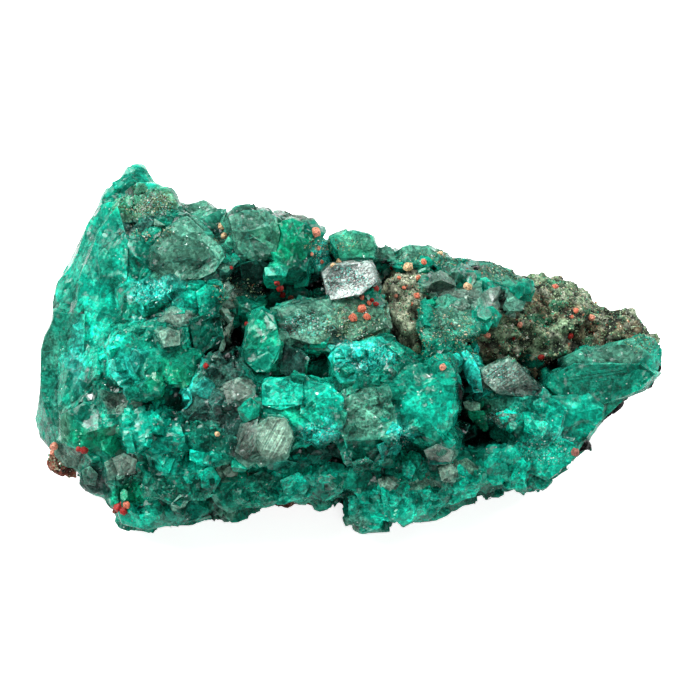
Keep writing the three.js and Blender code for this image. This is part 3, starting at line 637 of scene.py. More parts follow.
def remeshed(points, faces, voxel):
    """The same body with an even mesh, its overlaps joined."""
    mesh = bpy.data.meshes.new("draft")
    mesh.from_pydata(points.tolist(), [], faces.tolist())
    draft = bpy.data.objects.new("draft", mesh)
    bpy.context.scene.collection.objects.link(draft)
    even = draft.modifiers.new("even", "REMESH")
    even.mode = "VOXEL"
    even.voxel_size = voxel
    ready = draft.evaluated_get(bpy.context.evaluated_depsgraph_get())
    result = ready.to_mesh()
    result.calc_loop_triangles()
    new_points = np.zeros(len(result.vertices) * 3, np.float32)
    result.vertices.foreach_get("co", new_points)
    new_faces = np.zeros(len(result.loop_triangles) * 3, np.int32)
    result.loop_triangles.foreach_get("vertices", new_faces)
    ready.to_mesh_clear()
    bpy.data.objects.remove(draft)
    bpy.data.meshes.remove(mesh)
    return new_points.reshape(-1, 3).astype(float), new_faces.reshape(-1, 3)


def closing_width(points):
    """Half the width of the gaps that are grown shut: wider near the table, on the slab and at the back."""
    foot = smooth_step(5.0, 2.0, points[:, 2])
    slab = smooth_step(-20.0, -23.0, points[:, 0])
    back = smooth_step(8.0, 12.0, points[:, 1]) * smooth_step(11.0, 8.0, points[:, 2])
    return (GAP_CLOSED + MORE_CLOSED * np.maximum(np.maximum(foot, slab), back))[:, None]


def gaps_closed(points, faces, voxel):
    """The body with its narrow gaps grown shut: it is swollen, made whole and drawn back."""
    points, faces = remeshed(points, faces, voxel)
    points = points + corner_normals(points, faces) * closing_width(points)
    points, faces = remeshed(points, faces, voxel)
    points = points - corner_normals(points, faces) * closing_width(points)
    return remeshed(points, faces, voxel)


def depth_in(outline, across, down):
    """How far inside an outline in the window places are, and the way to its nearest point."""
    place = np.stack([across, down], axis=1)
    nearest = np.full(len(place), np.inf)
    shift = np.zeros_like(place)
    inside = np.zeros(len(place), bool)
    for start, end in zip(outline, outline[1:] + outline[:1]):
        a, b = np.array(start, float), np.array(end, float)
        part = np.clip((place - a) @ (b - a) / ((b - a) @ (b - a)), 0.0, 1.0)
        way = a + part[:, None] * (b - a) - place
        distance = np.linalg.norm(way, axis=1)
        closer = distance < nearest
        nearest[closer] = distance[closer]
        shift[closer] = way[closer]
        if a[1] != b[1]:
            crosses = (a[1] > down) != (b[1] > down)
            inside ^= crosses & (across < a[0] + (down - a[1]) * (b[0] - a[0]) / (b[1] - a[1]))
    return np.where(inside, nearest, -nearest), shift


def drawn_in(points):
    """Moves what stands out past the stone's outline in the window back to it."""
    depth, shift = depth_in(RIM, *window_place(points))
    shift[depth > 0.0] = 0.0
    shift *= (0.095 * smooth_step(0.05, 0.6, points[:, 2]))[:, None]
    return points + np.outer(shift[:, 0], VIEW_RIGHT) - np.outer(shift[:, 1], VIEW_UP)


def flat_facets(points, faces):
    """Numbers the flat faces of a faceted solid, and gives the middle of each."""
    cross = face_normals(points, faces)
    area = np.linalg.norm(cross, axis=1)
    normal = unit(cross)
    middle = points[faces].mean(axis=1)
    level = (normal * middle).sum(1)
    mark = np.round(np.column_stack([normal * 25.0, level * 6.0])).astype(np.int64)
    _, facet = np.unique(mark, axis=0, return_inverse=True)
    facet = facet.reshape(-1)
    weight = np.bincount(facet, area)
    centres = np.stack([np.bincount(facet, area * middle[:, k]) / weight for k in range(3)], axis=1)
    return facet, centres


def mesh_piece(name, material, slot, points, faces, colours, values=None, crease=None):
    """A mesh object from corners in millimetres, with colours at face corners and values at points."""
    mesh = bpy.data.meshes.new(name)
    mesh.vertices.add(len(points))
    mesh.vertices.foreach_set("co", (points * MM).astype(np.float32).ravel())
    mesh.loops.add(len(faces) * 3)
    mesh.loops.foreach_set("vertex_index", faces.astype(np.int32).ravel())
    mesh.polygons.add(len(faces))
    mesh.polygons.foreach_set("loop_start", np.arange(0, len(faces) * 3, 3, dtype=np.int32))
    mesh.update(calc_edges=True)
    mesh.validate()
    mesh.polygons.foreach_set("use_smooth", np.full(len(mesh.polygons), crease is not None))
    if crease is not None:
        mesh.set_sharp_from_angle(angle=math.radians(crease))
    layer = mesh.color_attributes.new("tint", "FLOAT_COLOR", "CORNER")
    alpha = np.ones((len(colours), 1))
    layer.data.foreach_set("color", np.hstack([colours, alpha]).astype(np.float32).ravel())
    for key, value in (values or {}).items():
        layer = mesh.attributes.new(key, "FLOAT", "POINT")
        layer.data.foreach_set("value", value.astype(np.float32))
    mesh.materials.append(material)
    piece = bpy.data.objects.new(name, mesh)
    bpy.context.scene.collection.objects.link(piece)
    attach(piece, "root")
    return piece


def reach_of(points, u, v, reach_u, reach_v):
    """How far into a patch of the window each point lies: 1 in its middle, 0 outside."""
    across, down = window_place(points)
    distance = np.sqrt(((across - u) / reach_u) ** 2 + ((down - v) / reach_v) ** 2)
    return 1.0 - smooth_step(0.55, 1.25, distance)


def patch_colours(points):
    """The stone's colour at each point, mixed from the patches there."""
    total = np.full(len(points), 0.35)
    colour = np.outer(total, TINTS["plain"])
    for tint, u, v, reach_u, reach_v, strength in PATCHES:
        weight = reach_of(points, u, v, reach_u, reach_v) * strength * 2.0
        total += weight
        colour += np.outer(weight, TINTS[tint])
    return colour / total[:, None]


def largest_reach(points, places):
    """How far into the nearest of several patches each point lies."""
    best = np.zeros(len(points))
    for u, v, reach_u, reach_v in places:
        best = np.maximum(best, reach_of(points, u, v, reach_u, reach_v))
    return best


def openness(points, normals, tree):
    """The part of the directions over each point that nothing near it blocks."""
    rng = np.random.default_rng(3)
    reach = 3.5
    rays = 10
    total = np.zeros(len(points))
    for _ in range(rays):
        way = unit(normals * 1.05 + unit(rng.normal(size=points.shape)))
        start = points + normals * 0.08
        hits = [tree.ray_cast(Vector(p), Vector(w), reach)[3] for p, w in zip(start.tolist(), way.tolist())]
        total += np.array([1.0 if h is None else h / reach for h in hits])
    return total / rays


def tree_of(points, faces):
    return BVHTree.FromPolygons(points.tolist(), faces.tolist(), all_triangles=True)


def first_hit(trees, across, down):
    """The place where the stone is first met through a place in the window, and the way it faces there."""
    ray = window_ray(across, down)
    best = None
    for tree in trees:
        place, normal, _, distance = tree.ray_cast(Vector(VIEWER), Vector(ray))
        if place is not None and (best is None or distance < best[2]):
            best = (np.array(place), np.array(normal), distance)
    return best


def joined(*surfaces):
    """Several surfaces as one."""
    start, points, faces = 0, [], []
    for surface in surfaces:
        points.append(surface[0])
        faces.append(surface[1] + start)
        start += len(surface[0])
    return np.vstack(points), np.vstack(faces)


# Small solids that are scattered over the stone.


def corners_and_faces(body):
    """The corners and triangles of a bmesh, which is freed."""
    body.verts.index_update()
    points = np.array([v.co[:] for v in body.verts])
    faces = np.array([[v.index for v in f.verts] for f in body.faces])
    body.free()
    return points, faces


def convex_solid(corners):
    """The convex body around a few corners, as corners and triangles."""
    body = bmesh.new()
    for corner in corners:
        body.verts.new(corner)
    bmesh.ops.convex_hull(body, input=body.verts, use_existing_faces=False)
    loose = [v for v in body.verts if not v.link_faces]
    bmesh.ops.delete(body, geom=loose, context="VERTS")
    bmesh.ops.triangulate(body, faces=body.faces)
    bmesh.ops.recalc_face_normals(body, faces=body.faces)
    return corners_and_faces(body)


def small_crystal(rng, depth):
    """A prism one unit wide that points up, with the three rhomb faces of its head and its foot below."""
    squash = rng.uniform(0.7, 1.0)
    slope = rng.uniform(0.8, 1.3)
    corners = [(0.0, 0.0, 0.0)]
    for k in range(6):
        angle = k * math.pi / 3.0
        x, y = 0.5 * math.cos(angle), 0.5 * math.sin(angle) * squash
        drop = slope * 0.5 * (0.5 if k % 2 else 1.0)
        corners.append((x, y, -drop))
        corners.append((x * 1.05, y * 1.05, -depth))
    return convex_solid(corners)


def splinter(rng, corner_count):
    """A broken crumb of stone about one unit across."""
    corners = unit(rng.normal(size=(corner_count, 3))) * 0.5 * rng.uniform(0.75, 1.1, size=(corner_count, 1))
    return convex_solid(corners * np.array([1.0, rng.uniform(0.6, 1.0), rng.uniform(0.5, 1.0)]))


def frames_from(normals, rng):
    """Turned axes with their third one along each normal."""
    side = unit(np.cross(normals, unit(rng.normal(size=normals.shape))))
    other = np.cross(normals, side)
    return np.stack([side, other, normals], axis=1)


def scattered(shapes, places, axes, sizes, tints, rng, spread):
    """Copies of the shapes at the places, as one mesh with a colour for each face corner."""
    kind = rng.integers(0, len(shapes), len(places))
    all_points, all_faces, all_colours = [], [], []
    start = 0
    for index, (points, faces) in enumerate(shapes):
        chosen = np.flatnonzero(kind == index)
        if not len(chosen):
            continue
        local = points[None, :, :] * sizes[chosen][:, None, :]
        turned = np.einsum("nij,nik->njk", local.transpose(0, 2, 1), axes[chosen])
        all_points.append((turned + places[chosen][:, None, :]).reshape(-1, 3))
        shifts = start + np.arange(len(chosen)) * len(points)
        all_faces.append((faces[None, :, :] + shifts[:, None, None]).reshape(-1, 3))
        tone = 1.0 + rng.uniform(-spread, spread, size=(len(chosen), len(faces), 1))
        colour = tints[chosen][:, None, :] * tone
        all_colours.append(np.repeat(colour.reshape(-1, 3), 3, axis=0))
        start += len(chosen) * len(points)
    return np.vstack(all_points), np.vstack(all_faces), np.clip(np.vstack(all_colours), 0.0, 1.0)


def sampled(points, faces, weight, count, rng):
    """Random places on the faces, more of them where the weight is high, and which face each is on."""
    area = np.linalg.norm(face_normals(points, faces), axis=1)
    chance = area * weight
    chosen = rng.choice(len(faces), count, p=chance / chance.sum())
    a, b = rng.random(count), rng.random(count)
    over = a + b > 1.0
    a[over], b[over] = 1.0 - a[over], 1.0 - b[over]
    first, second, third = (points[faces[chosen, k]] for k in range(3))
    return first + (second - first) * a[:, None] + (third - first) * b[:, None], chosen


# Materials.


class Graph:
    """A tree of shader nodes, with a short call for each kind of node that is added to it."""

    def __init__(self, tree):
        self.tree = tree

    def put(self, sockets, values):
        """Gives sockets plain values, or links them to where their values come from."""
        for key, value in values.items():
            if isinstance(value, bpy.types.NodeSocket):
                self.tree.links.new(value, sockets[key])
            else:
                sockets[key].default_value = value

    def node(self, kind, inputs, **settings):
        made = self.tree.nodes.new("ShaderNode" + kind)
        for name, value in settings.items():
            setattr(made, name, value)
        self.put(made.inputs, inputs)
        return made.outputs

    def math(self, operation, first, second, clamp=False):
        return self.node("Math", {0: first, 1: second}, operation=operation, use_clamp=clamp)[0]

    def product(self, first, *others):
        for other in others:
            first = self.math("MULTIPLY", first, other)
        return first

    def total(self, first, second, clamp=False):
        return self.math("ADD", first, second, clamp)

    def vector(self, operation, first, second, output=0):
        return self.node("VectorMath", {0: first, 1: second}, operation=operation)[output]

    def scaled(self, colour, factor):
        return self.node("VectorMath", {0: colour, "Scale": factor}, operation="SCALE")[0]

    def ranged(self, value, low, high, to_low, to_high):
        inputs = {"Value": value, "From Min": low, "From Max": high, "To Min": to_low, "To Max": to_high}
        return self.node("MapRange", inputs)["Result"]

    def mixed(self, factor, first, second):
        return self.node("Mix", {0: factor, 6: first, 7: second}, data_type="RGBA")[2]

    def eased(self, value, amount):
        """The value drawn towards one: all of it where the amount is one."""
        return self.node("Mix", {0: amount, 2: 1.0, 3: value})[0]

    def noise(self, place, scale, detail=2.0, roughness=0.5):
        inputs = {"Vector": place, "Scale": scale, "Detail": detail, "Roughness": roughness}
        return self.node("TexNoise", inputs)

    def cells(self, place, scale, feature="F1"):
        return self.node("TexVoronoi", {"Vector": place, "Scale": scale}, feature=feature)

    def parts(self, colour):
        return self.node("SeparateColor", {"Color": colour})

    def attribute(self, name, output="Fac"):
        return self.node("Attribute", {}, attribute_name=name)[output]

    def placed(self, group, **values):
        """A node group with its own values."""
        made = self.tree.nodes.new("ShaderNodeGroup")
        made.node_tree = group
        self.put(made.inputs, values)
        return made.outputs

    def bumped(self, height, strength, distance):
        return self.node("Bump", {"Height": height, "Strength": strength, "Distance": distance})["Normal"]

    def object_place(self):
        return self.node("TexCoord", {})["Object"]

    def shifted_place(self, scale, amount):
        """Places on the object, pushed about a little by noise."""
        place = self.object_place()
        centred = self.vector("SUBTRACT", self.noise(place, scale)["Color"], HALFWAY)
        spread = {0: centred, 1: (amount, amount, amount), 2: place}
        return self.node("VectorMath", spread, operation="MULTIPLY_ADD")[0]

    def tilted_faces(self, place, scale, slope):
        """A surface split into flat faces: the height in millimetres of each face's tilt, and its tones."""
        cells = self.cells(place, scale)
        from_centre = self.vector("SUBTRACT", place, cells["Position"])
        tilt = self.vector("SUBTRACT", cells["Color"], HALFWAY)
        rise = self.vector("DOT_PRODUCT", from_centre, tilt, "Value")
        return self.product(rise, slope / MM), self.parts(cells["Color"])


def new_group(name, inputs, outputs):
    """An empty node group with number sockets: its graph, what it is given and what it gives back."""
    tree = bpy.data.node_groups.new(name, "ShaderNodeTree")
    for key, value in inputs.items():
        tree.interface.new_socket(key, in_out="INPUT", socket_type="NodeSocketFloat").default_value = value
    for key in outputs:
        tree.interface.new_socket(key, in_out="OUTPUT", socket_type="NodeSocketFloat")
    return Graph(tree), tree.nodes.new("NodeGroupInput").outputs, tree.nodes.new("NodeGroupOutput").inputs


def stone_grain_group():
    """Fine relief and grain of broken stone: Height for a bump, Tone for the colour, Sand for pale specks."""
    graph, given, made = new_group("stone_grain", {"Size": 1.0}, ("Height", "Tone", "Sand"))
    place = graph.scaled(graph.object_place(), given["Size"])
    speck = graph.noise(place, 4600.0, 2.0, 0.7)
    speckle = graph.ranged(speck["Fac"], 0.36, 0.64, 0.35, 1.65)
    cloud = graph.noise(place, 650.0, 4.0, 0.65)["Fac"]
    graph.put(made, {
        "Height": graph.total(graph.cells(place, 1500.0)["Distance"], graph.noise(place, 3200.0, 3.0)["Fac"]),
        "Tone": graph.product(graph.ranged(cloud, 0.3, 0.7, 0.65, 1.35), speckle),
        "Sand": graph.ranged(graph.parts(speck["Color"])["Blue"], 0.56, 0.68, 0.0, 1.0),
    })
    return graph.tree


def glint_group():
    """Scattered bright flecks, where tiny faces and chips catch the light."""
    graph, given, made = new_group("glint", {"Scale": 1800.0, "Share": 0.06}, ("Mask",))
    cells = graph.cells(graph.shifted_place(5000.0, 0.0002), given["Scale"])
    tones = graph.parts(cells["Color"])
    chosen = graph.math("LESS_THAN", tones["Red"], given["Share"])
    near = graph.ranged(cells["Distance"], 0.15, 0.45, 1.0, 0.0)
    graph.put(made, {"Mask": graph.product(chosen, near, tones["Green"])})
    return graph.tree


def fracture_group():
    """Broken crystal: the height of its small flat faces, its veils, its cracks and where it shines."""
    graph, given, made = new_group("fracture", {"Size": 1.0}, ("Tone", "Line", "Shine", "Height"))
    place = graph.scaled(graph.shifted_place(900.0, 0.0006), given["Size"])
    broad, broad_tones = graph.tilted_faces(place, BROAD_CRACKS, 0.55)
    small, small_tones = graph.tilted_faces(place, 1700.0, 0.60)
    chip_tones = graph.parts(graph.cells(place, 3600.0)["Color"])
    thin = graph.ranged(graph.cells(place, BROAD_CRACKS, "DISTANCE_TO_EDGE")["Distance"], 0.0, 0.04, 1.0, 0.0)
    some = graph.ranged(graph.noise(place, 420.0)["Fac"], 0.54, 0.66, 0.0, 1.0)
    graph.put(made, {
        "Height": graph.total(broad, small),
        "Tone": graph.product(
            graph.ranged(broad_tones["Red"], 0.0, 1.0, 0.62, 1.38),
            graph.ranged(small_tones["Red"], 0.0, 1.0, 0.72, 1.3),
            graph.ranged(chip_tones["Red"], 0.0, 1.0, 0.6, 1.45),
        ),
        "Shine": small_tones["Green"],
        "Line": graph.product(thin, some),
    })
    return graph.tree


def new_material(name):
    """A new material, its graph and its shader's inputs."""
    material = bpy.data.materials.new(name)
    material.use_nodes = True
    return material, Graph(material.node_tree), material.node_tree.nodes["Principled BSDF"].inputs


def crystal_material(grain, glint, fracture):
    """Translucent green crystal: coloured by its tint, veined, frosted and grooved in places."""
    material, graph, shader = new_material("dioptase_green")
    tint = graph.attribute("tint", "Color")
    frost, groove, clear, worked = (graph.attribute(name) for name in ("frost", "groove", "clear", "worked"))
    stone = graph.placed(grain, Size=1.0)
    veils = graph.placed(fracture, Size=1.0)
    # flecks are painted glints, where tiny faces would catch the light; frosting is the frost's fine white
    # crystals
    flecks = graph.placed(glint, Scale=5000.0, Share=0.012)["Mask"]
    frosting = graph.placed(glint, Scale=4200.0, Share=0.30)["Mask"]

    strands = {"W": graph.attribute("across"), "Scale": 3.2, "Detail": 3.0, "Roughness": 0.7}
    lines = graph.node("TexNoise", strands, noise_dimensions="1D")["Fac"]
    stripes = graph.ranged(lines, 0.36, 0.64, 0.6, 1.45)

    grainy = graph.eased(stone["Tone"], worked)
    veiled = graph.scaled(tint, graph.product(grainy, veils["Tone"]))
    colour = graph.mixed(groove, veiled, graph.scaled(veiled, stripes))
    # painted highlight: pale lines along convex edges and creases where they would catch the light, with the
    # pale of the cracks
    edge_highlight = graph.product(graph.math("POWER", graph.attribute("edge"), 4.0), veils["Shine"])
    pale = graph.total(graph.product(veils["Line"], 0.22), graph.product(edge_highlight, 0.16), True)
    colour = graph.mixed(pale, colour, PALE_CRACK_AND_HIGHLIGHT)
    sandy = graph.ranged(frost, 0.0, 1.0, 0.08, 0.8)
    colour = graph.mixed(graph.product(sandy, stone["Sand"], clear), colour, SAND_PALE)
    colour = graph.mixed(graph.total(graph.product(frost, frosting), flecks, True), colour, FROST_AND_GLINT_WHITE)

    gloss = graph.ranged(veils["Shine"], 0.6, 0.8, 0.0, 0.35)
    dust = graph.product(stone["Height"], 0.07)
    broken = graph.product(graph.total(veils["Height"], dust), worked)
    height = graph.total(graph.product(lines, groove, 0.25), broken)
    graph.put(shader, {
        "Base Color": colour,
        "Roughness": graph.ranged(stone["Tone"], 0.5, 1.6, 0.08, 0.28),
        "Coat Weight": graph.product(gloss, clear),
        "Normal": graph.bumped(height, 1.0, MM),
        "IOR": 1.66,
        "Specular IOR Level": 0.09,
        "Coat Roughness": 0.06,
        "Coat IOR": 1.5,
        "Subsurface Weight": 0.3,
        "Subsurface Radius": (0.15, 1.0, 0.75),
        "Subsurface Scale": 0.0006,
    })
    return material


def matrix_material(grain, glint):
    """Gritty rock, coloured by its tint."""
    material, graph, shader = new_material("gritty_rock")
    stone = graph.placed(grain, Size=0.8)
    # flecks are painted glints on the rock's chips
    flecks = graph.placed(glint, Scale=2600.0, Share=0.08)["Mask"]
    toned = graph.scaled(graph.attribute("tint", "Color"), stone["Tone"])
    graph.put(shader, {
        "Base Color": graph.mixed(graph.product(flecks, 0.6), toned, ROCK_GLINT),
        "Roughness": 0.8,
        "Specular IOR Level": 0.2,
        "Normal": graph.bumped(stone["Height"], 0.8, 0.00012),
    })
    return material


def crumb_material(name, grain, roughness, subsurface):
    """Small loose-looking bits, each with its own tint."""
    material, graph, shader = new_material(name)
    stone = graph.placed(grain, Size=1.6)
    graph.put(shader, {
        "Base Color": graph.scaled(graph.attribute("tint", "Color"), stone["Tone"]),
        "Roughness": roughness,
        "Specular IOR Level": 0.3,
        "Subsurface Weight": subsurface,
        "Subsurface Radius": (0.3, 1.0, 0.8),
        "Subsurface Scale": 0.0005,
        "Normal": graph.bumped(stone["Height"], 0.3, 0.00005),
    })
    return material


# Pieces.


def worked_share(points):
    """How finely broken the stone is at each point: 1 for the sugary zones, little on the smooth crystals."""
    share = np.maximum(largest_reach(points, FROSTED), 0.65 * largest_reach(points, RUGGED))
    return 0.30 + 0.70 * np.maximum(share, 0.5 * smooth_step(0.1, 0.6, soft_noise(points, 3.0, 97)))


def mottled(points):
    """Broad and narrow drifts of tone over the stone."""
    return 1.0 + 0.35 * soft_noise(points, 3.2, 83) + 0.2 * soft_noise(points, 1.1, 89)


def back_share(places, ways):
    """How far places lie at the back, turned away from the window."""
    return smooth_step(2.0, 8.0, places[:, 1]) * smooth_step(0.3, -0.3, ways @ TO_VIEWER)


def outline_of(corners):
    """The places of the corners in the window, in order around their middle."""
    places = [(u, v) for u, v, _ in corners]
    mid_u = sum(u for u, _ in places) / len(places)
    mid_v = sum(v for _, v in places) / len(places)
    return sorted(places, key=lambda place: math.atan2(place[1] - mid_v, place[0] - mid_u))


def depths_in_singles(points):
    """How far inside the outline of each single crystal the points are seen, one outline after the other."""
    across, down = window_place(points)
    return [depth_in(outline_of(corners), across, down)[0] for _, _, corners in SINGLES]


def shade_around_singles(points):
    """Darkens the stone close around the single crystals."""
    nearest = np.max(depths_in_singles(points), axis=0)
    return 0.45 + 0.55 * smooth_step(0.0, SINGLE_SHADE, -nearest)


def off_singles(points):
    """1 away from the single crystals, 0 on them."""
    return smooth_step(2.0, -4.0, np.max(depths_in_singles(points), axis=0))


def crust_relief(points):
    """The heights of the crust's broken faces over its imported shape, and the tone of each face."""
    coarse, coarse_tone = broken_relief(points, *COARSE_FACES)
    medium, medium_tone = broken_relief(points, *MEDIUM_FACES)
    fine, fine_tone = broken_relief(points, *FINE_FACES)
    slab, slab_tone = broken_relief(points, *SLAB_FACES, SLAB_STREAK)
    rugged = largest_reach(points, RUGGED)
    calm = 1.0 - 0.8 * largest_reach(points, CALM)
    on_slab = smooth_step(118, 96, window_place(points)[0])
    swell = soft_noise(points, 4.0, 51) * 0.15
    broken = coarse * calm + medium * (0.55 + 0.45 * rugged) * calm + fine * rugged
    tone = 1.0 + 0.35 * (coarse_tone - 0.5) + 0.35 * (medium_tone - 0.5) + 0.5 * rugged * (fine_tone - 0.5)
    height = swell + broken * (1.0 - on_slab) + slab * on_slab
    return height, tone * (1.0 - on_slab) + (0.85 + 0.3 * slab_tone) * on_slab


def raised(points, faces, over):
    """The points moved out to the crust's broken faces and that much over them, and how far each may move."""
    keep = smooth_step(0.2, 1.2, points[:, 2])
    relief = crust_relief(points)[0] + over
    return points + corner_normals(points, faces) * (relief * keep)[:, None], keep


def sunk_in_hollows(points, keep):
    return points - TO_VIEWER * (largest_reach(points, HOLLOWS) * keep * HOLLOW_DEPTH)[:, None]


def over_surface(points, tree):
    """How high points are over the nearest face of a surface, and the number of that face."""
    near = [tree.find_nearest(Vector(place)) for place in points.tolist()]
    above = (points - np.array([n[0][:] for n in near])) * np.array([n[1][:] for n in near])
    return above.sum(1), [n[2] for n in near]


def facet_tints(centres, facet, low, high):
    """The colour of each face from the patches at the middle of its flat face, with a tone of its own."""
    tone = low + (high - low) * scrambled(np.arange(len(centres))[:, None], 5)
    return patch_colours(centres)[facet] * tone[facet][:, None]


def crystal_colours(points, faces, free, tone, flat_part):
    """Face corner colours of the crust, mixed from those of the flat faces and those at the points, with
    painted shade where the stone is hemmed in and painted black in the hollows.
    """
    # painted shade: darker where little over a point is open, and black in the hollows
    gap_shade = 0.004 + 0.996 * smooth_step(0.28, 0.80, free) ** 1.3
    gap_shade *= 1.0 - 0.985 * largest_reach(points, HOLLOWS)
    colours = 0.55 * np.repeat(flat_part, 3, axis=0) + 0.45 * patch_colours(points)[faces.ravel()]
    return np.clip(colours * (tone * gap_shade)[faces.ravel()][:, None], 0, 1)


def crystal_values(points, clear, edge):
    """What the crystal material reads at each point."""
    across, down = window_place(points)
    groove = np.zeros(len(points))
    line = down * 0.1
    for u, v, reach_u, reach_v, clock, depth in GROOVED:
        here = reach_of(points, u, v, reach_u, reach_v) * depth
        angle = math.radians(clock)
        along = (across * math.sin(angle) + down * math.cos(angle)) * 0.1
        line = np.where(here > groove, along, line)
        groove = np.maximum(groove, here)
    return {
        "frost": largest_reach(points, FROSTED),
        "groove": groove,
        "across": line,
        "clear": clear,
        "edge": edge,
        "worked": worked_share(points),
    }


def clear_of_gaps(points, free):
    """1 where light reaches the stone, 0 in its gaps and hollows."""
    return (1.0 - largest_reach(points, HOLLOWS)) * smooth_step(0.2, 0.6, free)


def crystal_crust(material):
    """The fused crystals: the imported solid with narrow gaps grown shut, broken faces, grooves and colours."""
    points, faces = read_node("dioptase_crystals")
    facet, centres = flat_facets(points, faces)
    packed = tree_of(points, faces)
    points, faces = gaps_closed(points, faces, VOXEL)
    points = drawn_in(points)
    moved, keep = raised(points, faces, -UNDER_FACES)
    moved = sunk_in_hollows(relaxed(moved, faces, 1, 0.15), keep)
    moved[:, 2] = np.where(points[:, 2] < 0.3, 0.0, np.maximum(moved[:, 2], 0.0))

    tree = tree_of(moved, faces)
    normals = corner_normals(moved, faces)
    free = openness(moved, normals, tree)
    middles = moved[faces].mean(axis=1)
    home = facet[[packed.find_nearest(Vector(m))[2] for m in middles.tolist()]]
    bend = ((relaxed(moved, faces, 3, 0.6) - moved) * normals).sum(1) / VOXEL
    tone = crust_relief(moved)[1] * mottled(moved) * shade_around_singles(moved)
    # painted shade in the concave creases
    tone *= 1.0 - 0.75 * smooth_step(0.04, 0.25, bend)
    # convex edges open to the light, which carry a painted highlight
    edge = smooth_step(0.06, 0.28, -bend) * smooth_step(0.3, 0.7, free)
    colours = crystal_colours(moved, faces, free, tone, facet_tints(centres, home, 0.70, 1.30))
    values = crystal_values(moved, clear_of_gaps(moved, free), edge)
    piece = mesh_piece("crystal_crust", material, "dioptase", moved, faces, colours, values, CREASE)
    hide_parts("dioptase_crystals")
    return moved, faces, normals, free, tree


def crystal_faces(material, crust):
    """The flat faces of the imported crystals, sharp-edged, wherever they stand out of the crust."""
    points, faces = read_node("dioptase_crystals")
    facet, centres = flat_facets(points, faces)

    def longest(middles):
        return np.where(middles[:, 2] < TABLE_GAP, UNDER_EDGE, FACE_EDGE)

    points, faces, facet = refined(points, faces, facet, longest)
    in_rim = depth_in(RIM, *window_place(points))[0]
    moved, keep = raised(drawn_in(points), faces, OVER_CRUST)
    moved = sunk_in_hollows(moved, keep)
    above, nearest = over_surface(moved, crust[4])
    free = crust[3][crust[1][nearest]].mean(axis=1)
    shown = (above[faces].max(axis=1) > 0.0) & (free[faces].max(axis=1) > 0.2)
    shown &= (moved[faces][:, :, 2].min(axis=1) > 0.4) & (in_rim[faces].min(axis=1) > 1.0)
    faces, facet = faces[shown], facet[shown]
    used, faces = np.unique(faces, return_inverse=True)
    faces = faces.reshape(-1, 3)
    moved, free, above = moved[used], free[used], above[used]
    tone = crust_relief(moved)[1] * mottled(moved) * shade_around_singles(moved)
    # painted shade where a flat face barely stands out of the crust
    tone *= 0.45 + 0.55 * smooth_step(0.0, 0.18, above)
    # creases between flat faces, which carry a painted highlight
    edge = crease_points(moved, faces, facet) * smooth_step(0.05, 0.25, above)
    colours = crystal_colours(moved, faces, free, tone, facet_tints(centres, facet, 0.65, 1.35))
    values = crystal_values(moved, clear_of_gaps(moved, free), edge)
    mesh_piece("crystal_faces", material, "dioptase", moved, faces, colours, values, CREASE)
    return moved, faces


def crease_points(points, faces, facet):
    """1 at the points where two flat faces meet, 0 elsewhere."""
    low = np.full(len(points), facet.max() + 1)
    high = np.full(len(points), -1)
    for k in range(3):
        np.minimum.at(low, faces[:, k], facet)
        np.maximum.at(high, faces[:, k], facet)
    return (high > low).astype(float)


def stone_plane(trees, corners):
    """The stone's depth under an outline in the window, as a plane: base, slope across and slope down."""
    us, vs = [c[0] for c in corners], [c[1] for c in corners]
    grid = [(u, v) for u in range(min(us), max(us) + 1, 3) for v in range(min(vs), max(vs) + 1, 3)]
    grid = np.array(grid, float)
    grid = grid[depth_in(outline_of(corners), grid[:, 0], grid[:, 1])[0] > 0.0]
    hits = [first_hit(trees, u, v) for u, v in grid]
    met = [hit is not None for hit in hits]
    depths = np.array([(VIEWER - hit[0]) @ TO_VIEWER for hit in hits if hit is not None])
    terms = np.column_stack([np.ones(len(depths)), grid[met]])
    plane = np.linalg.lstsq(terms, depths, rcond=None)[0]
    plane[0] += np.percentile(depths - terms @ plane, 35)
    return plane


def single_body(plane, corners):
    """The corners of a single crystal, and those of its root, which is a little wider."""
    mid = np.mean([(u, v) for u, v, _ in corners], axis=0)
    body = []
    for u, v, height in corners:
        for stretch, lift in ((1.0, height), (1.12, -SINGLE_ROOT)):
            across, down = mid + (np.array([u, v]) - mid) * stretch
            ray = window_ray(across, down)
            depth = plane @ (1.0, across, down) - lift
            body.append(VIEWER + ray * depth / -(ray @ TO_VIEWER))
    return body


